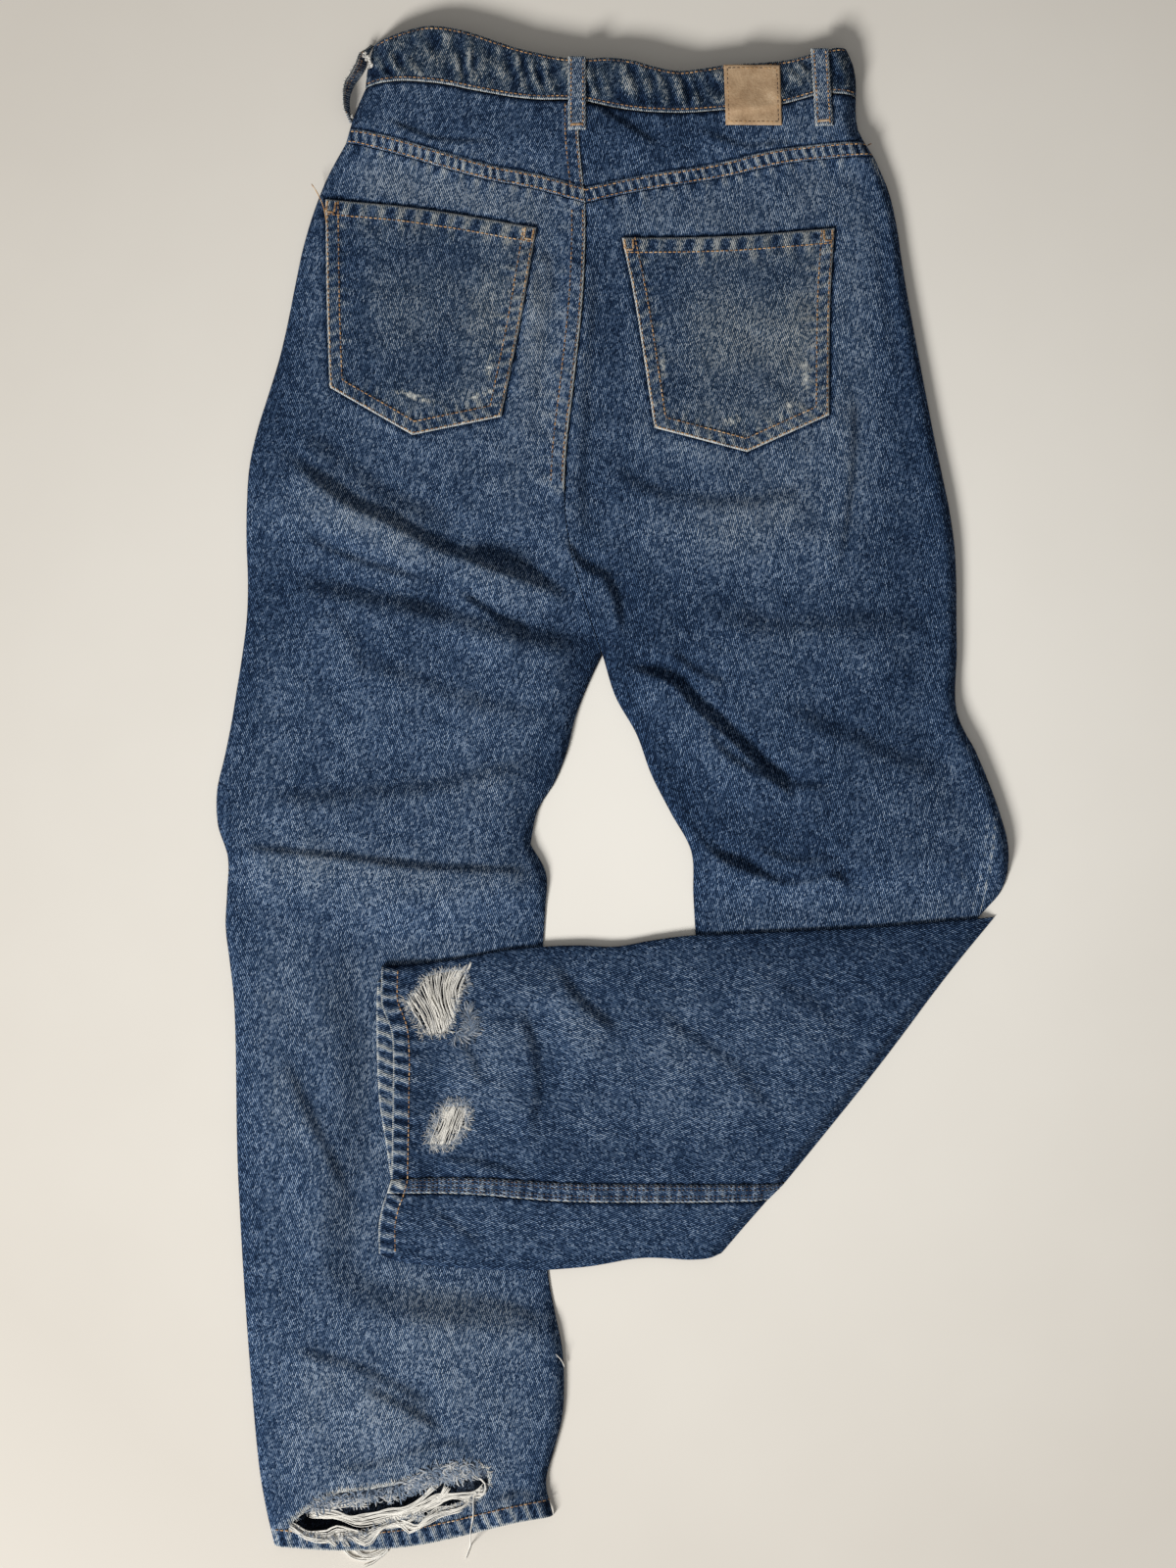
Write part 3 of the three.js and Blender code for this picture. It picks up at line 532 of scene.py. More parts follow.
# %% Height of the folded lower leg
FOLD_FLOOR = 3.0
FOLD_SIDE = 4.5
FOLD_CREASE = 1.5
FOLD_TOP = 6.3
FOLD_HEM_RISE = 2.6
FOLD_HEM_ENDS = (-150, -118)
fold_folds = [
    fold(2.4, 8, 18, (-40, -118), (-30, -140), (-10, -160), (8, -172)),
    fold(2.2, 9, 22, (-66, -150), (-56, -180), (-52, -211), (-58, -250), dip=0.6),
    fold(1.5, 7, 16, (-109, -178), (-98, -192), (-94, -212)),
    fold(1.3, 6, 14, (-128, -262), (-104, -263), (-80, -268), (-52, -276)),
    fold(1.2, 10, 24, (20, -150), (80, -190), (120, -235)),
    fold(1.0, 12, 26, (90, -120), (140, -150), (180, -190)),
    fold(0.9, 6, 14, (-130, -297), (-105, -315), (-90, -330)),
]


def fold_relief(x, y):
    height = sum(shape(x, y) for shape in fold_folds)
    height += 0.6 * ruffle(x, y, 42, 13)
    height += 0.36 * ruffle(x, y + 0.4 * x, 17, 14)
    height += 0.15 * ruffle(x, y, 8, 15)
    return height


def fold_smooth(x, y):
    """Upper face of the folded leg before its creases."""
    side = distance(fold_sides, x, y)
    turn = smooth(distance(fold_creases, x, y), 0, 9)
    crown = CROWN * (1 - np.exp(-np.maximum(0, side - EDGE_ROLL) / 30))
    hem_rise = FOLD_HEM_RISE * (1 - smooth(x, *FOLD_HEM_ENDS))
    raised = FOLD_CREASE + (FOLD_SIDE - FOLD_CREASE) * turn
    rounded = round_over(side, EDGE_ROLL)
    return raised + (FOLD_TOP + crown * turn + hem_rise - FOLD_SIDE) * rounded * turn


def fold_top(x, y):
    gap = np.minimum(distance(fold_sides, x, y), distance(fold_creases, x, y))
    return fold_smooth(x, y) + fold_relief(x, y) * smooth(gap, 3, RELIEF_REACH)


print("the folded leg rises to", value_at(fold_top, 0.0, -200.0), "mm")

# %% [markdown]
# ## Sewn bands
# Where a seam is felled or a hem is turned, the cloth is two or three layers thick. Its edge
# is rubbed almost white, and the wash leaves slanting light and dark bars along it, called
# roping. A band is given by its line, its width and how high it stands. It adds to the height
# of the panel and to its wear, which the denim finish later turns into paler blue.

# %% A band along a line
HEM_WIDE = 13.0
CENTRE_WIDE = 11.0
POCKET_HEM_WIDE = 11.0


def band(line, width, rise, pitch, slant=0.35, swell=0.3, pale=0.55, edge_pale=0.9, step=1.0, seed=7):
    """Returns a function of x and y that gives the extra height and the extra fading of a band."""
    line = coarse(line, 4.0)

    def shape(x, y):
        gap, place = along(line, x, y, width + 30)
        gap = np.abs(gap)
        inner = 1 - smooth(gap, width - step * 0.5, width + step * 0.5)
        drift = 0.9 * ruffle(place, np.zeros_like(place), pitch * 3.2, seed)
        wave = np.sin(TAU * (place + slant * gap) / pitch + 2.2 * drift)
        wave *= 0.75 + 0.5 * ruffle(place, place * 0, pitch * 1.7, seed + 1)
        window = smooth(gap, 0.6, 2.2) * (1 - smooth(gap, width - 2.0, width))
        height = rise * inner + swell * wave * window
        wear = pale * wave * window + 1.35 * edge_pale * bell(gap, 1.1)
        return height, wear

    return shape


def puckers(line, start, reach, pitch, pale=0.5, rise=0.5, seed=9):
    """Short ridges that run away from a seam where the cloth has shrunk more than the thread."""
    line = coarse(line, 4.0)

    def shape(x, y):
        away, place = along(line, x, y, start + 2.5 * reach)
        away = np.abs(away)
        gap = np.maximum(0, away - start)
        drift = 2.6 * ruffle(place, gap * 0.25, pitch * 2.4, seed)
        wave = np.sin(TAU * place / pitch + drift) + 0.5 * ruffle(place, gap * 0.4, pitch * 0.6, seed + 1)
        long = reach * np.clip(0.65 + 0.9 * ruffle(place, place * 0, pitch * 1.3, seed + 2), 0.25, 1.5)
        fade = bell(gap, long) * smooth(gap, -0.5, 1.0)
        outside = away >= start
        return rise * wave * fade * outside, pale * wave * fade * outside

    return shape


def groove_shade_and_rub(line, depth, shade_and_rub, width=0.9):
    """A crease close beside a line, such as below a piece on top, painted with shade (a pale rubbed line
    where negative).
    """
    line = coarse(line, 4.0)

    def shape(x, y):
        fade = bell(np.abs(along(line, x, y, 12)[0]), width)
        return -depth * fade, -shade_and_rub * fade

    return shape


def torn_edge(rings):
    """Cotton shows white where the cloth is torn."""

    def shape(x, y):
        wear = np.zeros(np.shape(x))
        for ring in rings:
            gap = np.abs(along(closed(ring), x, y, 16)[0])
            ragged = 1 + 0.6 * ruffle(x, y, 4, 71)
            wear += 0.95 * bell(gap, 1.1 * ragged + 0.2) + 0.28 * np.exp(-gap / 3.5)
        return np.zeros(np.shape(x)), wear

    return shape


def added(shapes, x, y):
    height = np.zeros(np.shape(x))
    wear = np.zeros(np.shape(x))
    for shape in shapes:
        more_height, more_wear = shape(x, y)
        height += more_height
        wear += more_wear
    return height, wear


def banded(top, wear, bands, ramp=0):
    """A surface and its fading and painted shade with bands on them, faded in over `ramp` from the side
    edges.
    """

    def band_top(x, y):
        fade = smooth(distance(side_edges, x, y, 30), 0, ramp) if ramp else 1
        return top(x, y) + added(bands, x, y)[0] * fade

    def band_wear_and_shade(x, y):
        return wear(x, y) + added(bands, x, y)[1]

    return band_top, band_wear_and_shade


test_groove = groove_shade_and_rub(places((0, 0), (50, 0)), 0.5, 0.9)
print("a groove changes the height by", value_at(lambda x, y: test_groove(x, y)[0], 25.0, 4.0), "mm")

# %% [markdown]
# ## Where the dye has faded, and where shade is painted
# Denim fades where it is rubbed: on the seat, below the pockets and on the thighs. The
# crests of the folds are painted paler, partly fading and partly painted highlight, and their
# hollows darker, painted shade. Along the side edges the cloth is darker, partly as unfaded
# outseams and partly as painted shade where it rolls down. Soft patches give the large areas,
# some of them painted shade over broad hollows, and the folds themselves add the rest.

# %% Faded areas and painted shade


def patches(*rows):
    """Soft ovals, added up. A row has its amount (paler above 0), centre, reaches and turn."""

    def wear_of(x, y):
        wear = 0
        for amount, centre, across, tall, *turn in rows:
            angle = math.radians(turn[0] if turn else 0.0)
            middle = places(centre)[0]
            dx = x - middle[0]
            dy = y - middle[1]
            u = (dx * math.cos(angle) + dy * math.sin(angle)) / across
            v = (dy * math.cos(angle) - dx * math.sin(angle)) / tall
            wear = wear + amount * np.exp(-0.5 * (u * u + v * v))
        return wear

    return wear_of


# Above 0 the ovals are faded areas. Below 0 they are partly darker dye and partly painted shade over the
# broad hollows of the folds, as on the left thigh, at the knee and beside the centre seam.
lay_patches_and_shade = patches(
    (0.22, (-52, 325), 9, 66, 4),
    (0.16, (-120, 424), 56, 12, -15),
    (-0.20, (4, 310), 9, 80, 3),
    (0.04, (-135, 330), 70, 60),
    (0.06, (110, 415), 60, 20, 8),
    (0.10, (92, 290), 60, 40),
    (0.13, (85, 185), 50, 30),
    (-0.08, (-150, 230), 80, 30, -12),
    (0.02, (-150, -430), 80, 90),
    (-0.20, (-150, 80), 90, 70),
    (-0.14, (-180, 120), 70, 34, -10),
    (-0.12, (-160, -20), 100, 18),
    (-0.12, (-160, -85), 90, 30),
    (-0.28, (30, 130), 50, 50),
    (-0.22, (60, 10), 60, 50, -40),
    (-0.26, (140, -40), 90, 60),
    (-0.24, (175, 90), 50, 60),
    (-0.26, (215, 250), 26, 110),
    (-0.14, (-110, 110), 90, 30, -15),
    (-0.24, (-240, 280), 26, 100, 12),
    (-0.14, (-230, -300), 40, 70),
    (-0.16, (-20, 300), 18, 100),
    (-0.16, (25, 214), 40, 14, -6),
    (0.10, (176, 225), 6, 50, -3),
    (0.06, (-150, 172), 70, 9, -22),
    (-0.40, (35, 466), 50, 22, 4),
    (-0.22, (-100, 476), 60, 16, -4),
)


def lay_wear_and_shade(x, y):
    # Fold crests are painted paler and fold hollows darker: partly fading, partly painted highlight and
    # painted shade.
    wear = lay_patches_and_shade(x, y) + 0.03 * lay_relief(x, y)
    wear += 0.05 * ruffle(x, y, 34, 21) + 0.05 * ruffle(x * 2.2, y * 0.4, 13, 22)
    # Darker along the side edges: partly unfaded outseams, partly painted shade where the cloth rolls down to
    # the table.
    wear -= 0.36 * np.exp(-distance(side_edges, x, y, 60) / 11)
    return wear


# Above 0 faded areas, and the pale felled patch where the inseam meets the hem. Below 0 partly darker dye and
# partly painted shade along the folds and beside the inseam.
fold_patches_and_shade = patches(
    (0.10, (-90, -195), 40, 30, 40),
    (0.08, (60, -180), 90, 40),
    (-0.14, (-55, -215), 12, 34),
    (-0.10, (-140, -200), 16, 60),
    (-0.12, (190, -125), 60, 26, 10),
    (-0.08, (0, -270), 120, 10),
    (0.55, (-153, -282), 5, 4),
)


def fold_wear_and_shade(x, y):
    # The crests of its folds are painted paler and their hollows darker: painted highlight and painted shade
    # as well as fading.
    wear = fold_patches_and_shade(x, y) - 0.20 + 0.04 * fold_relief(x, y)
    wear += 0.08 * ruffle(x, y, 30, 31) + 0.05 * ruffle(x * 0.8, y * 1.5, 13, 32)
    # Darker towards its sides and its crease: painted shade where the cloth turns under.
    wear -= 0.26 * np.exp(-distance(fold_sides + fold_creases, x, y, 60) / 9)
    return wear


print("wear below a pocket:", value_at(lay_wear_and_shade, 85.0, 185.0), "on a side:", value_at(lay_wear_and_shade, 265.0, 20.0))

# %% [markdown]
# ## Writing finishes as sums
# A finish in Blender is a net of nodes. Written node by node it is hard to read, so a small
# class wraps one socket of the net. With it, `0.5 + 0.2 * twill` adds the Math nodes itself,
# and `node` adds any other kind.

# %% A socket that can be used in sums


class Finish:
    """A material and its node tree."""

    def __init__(self, name):
        self.material = bpy.data.materials.new(name)
        self.material.use_nodes = True
        self.tree = self.material.node_tree
        self.tree.nodes.clear()

    def node(self, kind, settings=None, sockets=None, out=0):
        """Adds a node: its settings first, then the values or links of its sockets."""
        made = self.tree.nodes.new(kind)
        for name, value in (settings or {}).items():
            if name == "stops":
                self.set_stops(made.color_ramp, value)
            else:
                setattr(made, name, value)
        for name, value in (sockets or {}).items():
            if isinstance(value, Wire):
                self.tree.links.new(value.socket, made.inputs[name])
            else:
                made.inputs[name].default_value = value
        if isinstance(out, tuple):
            return tuple(Wire(self, made.outputs[k]) for k in out)
        return Wire(self, made.outputs[out])

    def where(self):
        """The place on the object, in metres."""
        return self.node("ShaderNodeTexCoord", None, None, out=3)

    def worn_and_shaded(self):
        """The fading, and the painted shade and painted highlight, that the mesh carries at every point."""
        return self.node("ShaderNodeAttribute", {"attribute_name": "wear"}, out=2)

    def noise(self, where, scale, detail):
        return self.node("ShaderNodeTexNoise", None, {"Vector": where, "Scale": scale, "Detail": detail})

    def ramp(self, stops, place):
        return self.node("ShaderNodeValToRGB", {"stops": stops}, {0: place})

    def bump(self, strength, depth, height):
        sockets = {"Strength": strength, "Distance": depth, "Height": height}
        return self.node("ShaderNodeBump", None, sockets)

    def mix(self, kind, share, a, b):
        """Mixes two colours."""
        settings = {"data_type": "RGBA", "blend_type": kind}
        return self.node("ShaderNodeMix", settings, {0: share, 6: a, 7: b}, out=2)

    @staticmethod
    def set_stops(ramp, stops):
        while len(ramp.elements) < len(stops):
            ramp.elements.new(0.5)
        for element, (place, colour) in zip(ramp.elements, stops):
            element.position = place
            element.color = (*colour, 1.0)

    def finish(self, sockets):
        """Adds the surface shader with these sockets and the output."""
        shader = self.node("ShaderNodeBsdfPrincipled", None, sockets)
        output = self.tree.nodes.new("ShaderNodeOutputMaterial")
        self.tree.links.new(shader.socket, output.inputs["Surface"])
        return self.material


def operation(name, swapped=False):
    """A method that adds one Math node."""

    def method(self, other):
        return self.math(name, *((other, self) if swapped else (self, other)))

    return method


class Wire:
    """One output socket. Sums of wires add Math nodes."""

    def __init__(self, finish, socket):
        self.finish = finish
        self.socket = socket

    def math(self, name, a, b=None):
        sockets = {0: a} if b is None else {0: a, 1: b}
        return self.finish.node("ShaderNodeMath", {"operation": name}, sockets)

    __add__ = operation("ADD")
    __radd__ = operation("ADD", True)
    __sub__ = operation("SUBTRACT")
    __rsub__ = operation("SUBTRACT", True)
    __mul__ = operation("MULTIPLY")
    __rmul__ = operation("MULTIPLY", True)

    def sin(self):
        return self.math("SINE", self)

    def floor(self):
        return self.math("FLOOR", self)

    def clamped(self):
        return self.math("MINIMUM", self.math("MAXIMUM", self, 0.0), 1.0)


trial = Finish("trial")
(trial.noise(trial.where(), 10.0, 1.0) + 0.5).clamped()
print("a noise with a sum and its limits takes", len(trial.tree.nodes), "nodes")
bpy.data.materials.remove(trial.material)


# %% [markdown]
# ## Denim
# Denim is a twill: blue warp yarns pass over three white weft yarns, one step further on each
# row, so slanting ribs appear. The wash takes dye off the crest of every float, and no two
# floats fade alike. Image textures would blur at this scale. So the ribs are a sine wave over
# the cloth's own grain, each float gets its own random shade, uneven yarns add streaks along
# the warp, and a colour ramp runs from unwashed indigo to bare cotton. The pockets and the
# waistband are rubbed most and get a greyer version, the wrong side one of its own.

# %% The denim finish
RIB_ACROSS = 1.3 * MM
RIB_ALONG = 3.6 * MM
FLOAT_LENGTH = 1.6 * MM

INDIGO = [
    (0.00, (0.0035, 0.0068, 0.014)),
    (0.25, (0.010, 0.020, 0.041)),
    (0.45, (0.027, 0.052, 0.097)),
    (0.62, (0.068, 0.112, 0.182)),
    (0.80, (0.185, 0.243, 0.315)),
    (1.00, (0.560, 0.585, 0.590)),
]
WRONG_SIDE = [
    (0.00, (0.007, 0.008, 0.011)),
    (0.35, (0.050, 0.062, 0.085)),
    (0.70, (0.240, 0.270, 0.310)),
    (1.00, (0.600, 0.610, 0.600)),
]
BLUE_TINT = (0.87, 1.01, 1.22, 1.0)
GREY_TINT = (1.03, 0.99, 0.92, 1.0)


def denim(name, stops, middle, rib=0.42, float_shade=0.44, streak=0.24, grey=0.12):
    finish = Finish(name)
    grain = finish.node("ShaderNodeUVMap", {"uv_map": "grain"})
    across, along_warp = finish.node("ShaderNodeSeparateXYZ", None, {0: grain}, out=(0, 1))
    wobble = finish.noise(grain, 40.0, 1.0)
    ribs = across * (1 / RIB_ACROSS) - along_warp * (1 / RIB_ALONG) + 0.9 * wobble
    crest = (ribs * TAU).sin()
    rib_number = ribs.floor()
    float_number = (along_warp * (1 / FLOAT_LENGTH) + rib_number * 0.37).floor()
    cell = finish.node("ShaderNodeCombineXYZ", None, {0: rib_number, 1: float_number})
    shade = finish.node("ShaderNodeTexWhiteNoise", {"noise_dimensions": "2D"}, {"Vector": cell})
    warp = finish.node("ShaderNodeVectorMath", {"operation": "MULTIPLY"}, {0: grain, 1: (1.0, 0.11, 1.0)})
    slub = finish.noise(warp, 800.0, 1.0)
    speck = finish.noise(grain, 1500.0, 1.0)
    cloud = finish.noise(grain, 45.0, 3.0)
    worn_and_shaded = finish.worn_and_shaded()
    # The mesh's value lifts the blue where the cloth is faded, and also lightens or darkens it where
    # highlight or shade is painted on.
    tone = middle + rib * crest + float_shade * (shade - 0.5) + streak * 2 * (slub - 0.5)
    tone = tone + 0.75 * (speck - 0.5) + 0.18 * (cloud - 0.5) + 0.52 * worn_and_shaded
    tint = finish.mix("MIX", (grey + 1.5 * worn_and_shaded).clamped(), BLUE_TINT, GREY_TINT)
    return finish.finish(
        {
            "Base Color": finish.mix("MULTIPLY", 1.0, finish.ramp(stops, tone.clamped()), tint),
            "Roughness": 0.88,
            "Specular IOR Level": 0.03,
            "Sheen Weight": 0.01,
            "Sheen Roughness": 0.5,
            "Normal": finish.bump(0.3, 0.0004, 0.5 * crest + 0.6 * shade + 0.8 * slub),
        }
    )


denim_face = denim("denim", INDIGO, 0.40)
denim_pocket = denim("denim_pocket", INDIGO, 0.40, grey=0.55)
denim_band = denim("denim_band", INDIGO, 0.38, grey=1.1)
denim_inside = denim("denim_inside", WRONG_SIDE, 0.42, rib=0.16)
print("denim nodes:", len(denim_face.node_tree.nodes))

# %% [markdown]
# ## Thread, yarn, leather, brass
# The topstitching is spun thread, orange where it is fresh and dull where it has rubbed. Torn
# yarns are undyed cotton, and short ends keep some blue: the `wear` value of each yarn says
# how white it is. The patch is bare vegetable-tanned leather with fine grain, and the hidden
# button is antiqued brass.

# %% Small finishes


def topstitch_finish():
    finish = Finish("thread")
    where = finish.where()
    rubbed = finish.noise(where, 130.0, 2.0)
    fibre = finish.noise(where, 2600.0, 1.0)
    tone = (0.5 + 1.5 * (rubbed - 0.5) + 0.5 * (fibre - 0.5) + finish.worn_and_shaded()).clamped()
    stops = [
        (0.0, (0.040, 0.026, 0.022)),
        (0.3, (0.130, 0.078, 0.048)),
        (0.55, (0.340, 0.185, 0.078)),
        (0.8, (0.560, 0.330, 0.135)),
        (1.0, (0.680, 0.540, 0.390)),
    ]
    colour = finish.ramp(stops, tone)
    bump = finish.bump(0.4, 0.0002, fibre)
    return finish.finish({"Base Color": colour, "Roughness": 0.7, "Sheen Weight": 0.1, "Normal": bump})


def yarn_finish():
    finish = Finish("yarn")
    fibre = finish.noise(finish.where(), 1500.0, 2.0)
    stops = [
        (0.0, (0.020, 0.034, 0.065)),
        (0.35, (0.130, 0.185, 0.270)),
        (0.65, (0.600, 0.590, 0.560)),
        (1.0, (0.880, 0.850, 0.780)),
    ]
    colour = finish.ramp(stops, (finish.worn_and_shaded() + 0.3 * (fibre - 0.5)).clamped())
    bump = finish.bump(0.5, 0.0003, fibre)
    return finish.finish({"Base Color": colour, "Roughness": 0.85, "Sheen Weight": 0.15, "Normal": bump})


def leather_finish():
    finish = Finish("leather")
    where = finish.where()
    pores = finish.node("ShaderNodeTexVoronoi", None, {"Vector": where, "Scale": 900.0})
    marks = finish.noise(where, 85.0, 5.0)
    fine = finish.noise(where, 480.0, 3.0)
    tone = 0.5 + 0.9 * (marks - 0.5) + 0.5 * (fine - 0.5) + 0.15 * (pores - 0.5) + 0.5 * finish.worn_and_shaded()
    stops = [
        (0.0, (0.150, 0.085, 0.045)),
        (0.45, (0.395, 0.255, 0.142)),
        (0.75, (0.520, 0.360, 0.215)),
        (1.0, (0.640, 0.490, 0.330)),
    ]
    colour = finish.ramp(stops, tone.clamped())
    bump = finish.bump(0.35, 0.0003, pores + 0.7 * fine)
    return finish.finish({"Base Color": colour, "Roughness": 0.62, "Normal": bump})


def brass_finish():
    finish = Finish("brass")
    tarnish = finish.noise(finish.where(), 420.0, 4.0)
    colour = finish.ramp([(0.3, (0.110, 0.075, 0.040)), (0.7, (0.480, 0.330, 0.150))], tarnish)
    return finish.finish({"Base Color": colour, "Metallic": 1.0, "Roughness": (0.3 + 0.35 * tarnish)})


thread = topstitch_finish()
yarn = yarn_finish()
leather = leather_finish()
brass = brass_finish()
print("finishes:", [m.name for m in (denim_face, denim_inside, thread, yarn, leather, brass)])

# %% [markdown]
# ## From a net of points to a panel of cloth
# A panel is a grid of points between its four cut sides. Blender could cut a flat mesh with a
# boolean and thicken it with Solidify, but then the sewn edges would be as coarse as the rest.
# Here the grid's rows and columns crowd towards the edges, the upper face takes its height
# from the functions above, and the lower face lies one cloth thickness below it.

# %% Meshes from arrays


def make_mesh(name, points, quads, finishes, finish_of=None, grain=None, wear=None):
    """An object from points in millimetres and four-sided faces."""
    used, renumbered = np.unique(quads, return_inverse=True)
    quads = renumbered.reshape(-1, 4)
    points = points[used]
    mesh = bpy.data.meshes.new(name)
    mesh.vertices.add(len(points))
    mesh.vertices.foreach_set("co", (points * MM).astype(np.float32).ravel())
    mesh.loops.add(quads.size)
    mesh.loops.foreach_set("vertex_index", quads.astype(np.int32).ravel())
    mesh.polygons.add(len(quads))
    mesh.polygons.foreach_set("loop_start", np.arange(0, quads.size, 4, dtype=np.int32))
    mesh.polygons.foreach_set("use_smooth", np.ones(len(quads), bool))
    if finish_of is not None:
        mesh.polygons.foreach_set("material_index", finish_of.astype(np.int32))
    mesh.update(calc_edges=True)
    if grain is not None:
        layer = mesh.uv_layers.new(name="grain")
        layer.uv.foreach_set("vector", (grain[used] * MM)[quads.ravel()].astype(np.float32).ravel())
    # This attribute holds the fading, and on the cloth also painted shade and painted highlight.
    values = mesh.attributes.new("wear", "FLOAT", "POINT")
    shade = np.zeros(len(points)) if wear is None else wear[used]
    values.data.foreach_set("value", shade.astype(np.float32))
    for finish in finishes:
        mesh.materials.append(finish)
    mesh.validate()
    piece = bpy.data.objects.new(name, mesh)
    bpy.context.scene.collection.objects.link(piece)
    return piece


def crowded(length, fine, pitch, growth=1.35):
    """Shares from 0 to 1 whose steps grow from `fine` at both ends to `pitch` in the middle."""
    steps = []
    step = fine
    while step < pitch and 2 * (sum(steps) + step) < length * 0.8:
        steps.append(step)
        step *= growth
    start = np.concatenate([[0.0], np.cumsum(steps)])
    middle = length - 2 * start[-1]
    count = max(2, 2 * math.ceil(middle / pitch / 2))
    inner = start[-1] + middle * np.arange(1, count) / count
    return np.concatenate([start, inner, length - start[::-1]]) / length


def shares_on(line, shares, halves):
    """Points on a side. A side with a point in its middle gives each half the same share."""
    whole = arc(line)
    if not halves:
        return at_length(line, shares * whole[-1])
    corner = whole[np.argmax(turning(line)) + 1]
    return at_length(line, np.interp(shares, [0, 0.5, 1], [0, corner, whole[-1]]))


def net(sides, pitch, fine, halves=False):
    """A grid of points between four sides, rows from the top, columns from the left."""
    width = max(arc(sides["top"])[-1], arc(sides["bottom"])[-1])
    height = max(arc(sides["left"])[-1], arc(sides["right"])[-1])
    u = crowded(width, fine, pitch)
    v = crowded(height, fine, pitch)
    top = shares_on(sides["top"], u, False)[None]
    bottom = shares_on(sides["bottom"], u, halves)[None]
    left = shares_on(sides["left"], v, False)[:, None]
    right = shares_on(sides["right"], v, False)[:, None]
    u = u[None, :, None]
    v = v[:, None, None]
    corners = (
        top[:, :1] * (1 - u) * (1 - v)
        + top[:, -1:] * u * (1 - v)
        + bottom[:, :1] * (1 - u) * v
        + bottom[:, -1:] * u * v
    )
    return top * (1 - v) + bottom * v + left * (1 - u) + right * u - corners


print("steps over 100 mm, from 1 to 10:", np.round(np.diff(crowded(100.0, 1.0, 10.0)) * 100, 1))

# %% A closed wall of cloth


def grid_quads(rows, columns):
    number = np.arange(rows * columns).reshape(rows, columns)
    return np.stack([number[:-1, :-1], number[1:, :-1], number[1:, 1:], number[:-1, 1:]], -1)


def wall(upper, count):
    """Faces of a closed wall from its upper faces. Point `n + count` lies below point `n`."""
    starts = upper.ravel()
    ends = np.roll(upper, -1, axis=1).ravel()
    rim = ~np.isin(starts * count + ends, ends * count + starts)
    p = starts[rim]
    q = ends[rim]
    return np.concatenate([upper, np.stack([q, p, p + count, q + count], -1), upper[:, ::-1] + count])


def open_tears(grid, rings, seed=40):
    """Which cells stay, and the grid with its points beside each tear moved on to the torn edge."""
    grid = grid.copy()
    centre = (grid[:-1, :-1] + grid[1:, :-1] + grid[1:, 1:] + grid[:-1, 1:]) / 4
    keep = np.ones(centre.shape[:2], bool)
    for ring in rings:
        keep &= ~inside(ring, centre[..., 0], centre[..., 1])
    touched = np.zeros(grid.shape[:2], bool)
    gone = ~keep
    for rows in (slice(0, -1), slice(1, None)):
        for columns in (slice(0, -1), slice(1, None)):
            touched[rows, columns] |= gone
    chance = np.random.default_rng(seed)
    for ring in rings:
        edge = smooth_line(closed(ring), 0.5, sharp=200)
        where = np.argwhere(touched)
        spots = grid[touched]
        gap, _ = along(edge, spots[:, 0], spots[:, 1], 8)
        near = np.abs(gap) < 3.0
        for (row, column), spot in zip(where[near], spots[near]):
            grid[row, column] = edge[nearest(edge, spot)] + chance.uniform(-0.25, 0.25, 2)
    return keep, grid


def cloth(name, grid, top, bottom, wear, turn=0.0, keep=None, finishes=None):
    """A closed wall over a grid. `top` and `bottom` give heights, the function after them the fading and
    painted shade.
    """
    rows, columns = grid.shape[:2]
    x = grid[..., 0]
    y = grid[..., 1]
    high = top(x, y)
    low = bottom(x, y, high)
    upper = grid_quads(rows, columns)
    upper = upper.reshape(-1, 4) if keep is None else upper[keep]
    faces = wall(upper, rows * columns)
    finish_of = np.zeros(len(faces), int)
    finish_of[-len(upper) :] = 1
    points = np.concatenate([np.stack([x, y, z], -1).reshape(-1, 3) for z in (high, low)])
    c = math.cos(math.radians(turn))
    s = math.sin(math.radians(turn))
    grain = np.stack([x * c + y * s, y * c - x * s], -1).reshape(-1, 2)
    finishes = finishes or [denim_face, denim_inside]
    wear = np.tile(wear(x, y).ravel(), 2)
    return make_mesh(name, points, faces, finishes, finish_of, np.tile(grain, (2, 1)), wear)


def under(thickness):
    """The lower face, one thickness below the upper one and never below the table."""
    return lambda x, y, high: np.maximum(TABLE_GAP, high - thickness)


def register(piece, slot, *nodes):
    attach(piece, "root")
    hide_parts(*nodes)
    triangles = 2 * len(piece.data.polygons)
    print(piece.name, triangles, "triangles")
    return piece


print("a wall over 2 by 2 cells has", len(wall(grid_quads(3, 3).reshape(-1, 4), 9)), "faces")


# %% [markdown]
# ## Back panels
# The left back panel runs from the yoke to the torn hem, the right one to the diagonal fold.
# The left one also carries the felled centre seam, down to the fold that hides it. Pockets
# and yokes lie on them, so a crease with painted shade follows the outline of each.

# %% Outlines of the pockets
pocket_edges = {}
for node in ("pocket_left", "pocket_right"):
    sides = cut[node]
    below_top = np.concatenate([sides["left"], sides["bottom"][1:], sides["right"][::-1][1:]])
    pocket_edges[node] = (sides["top"], below_top)
pocket_rings = {
    node: np.concatenate([u_line, top_line[::-1]]) for node, (top_line, u_line) in pocket_edges.items()
}
print("pocket outline", round(arc(pocket_rings["pocket_left"])[-1]), "mm")

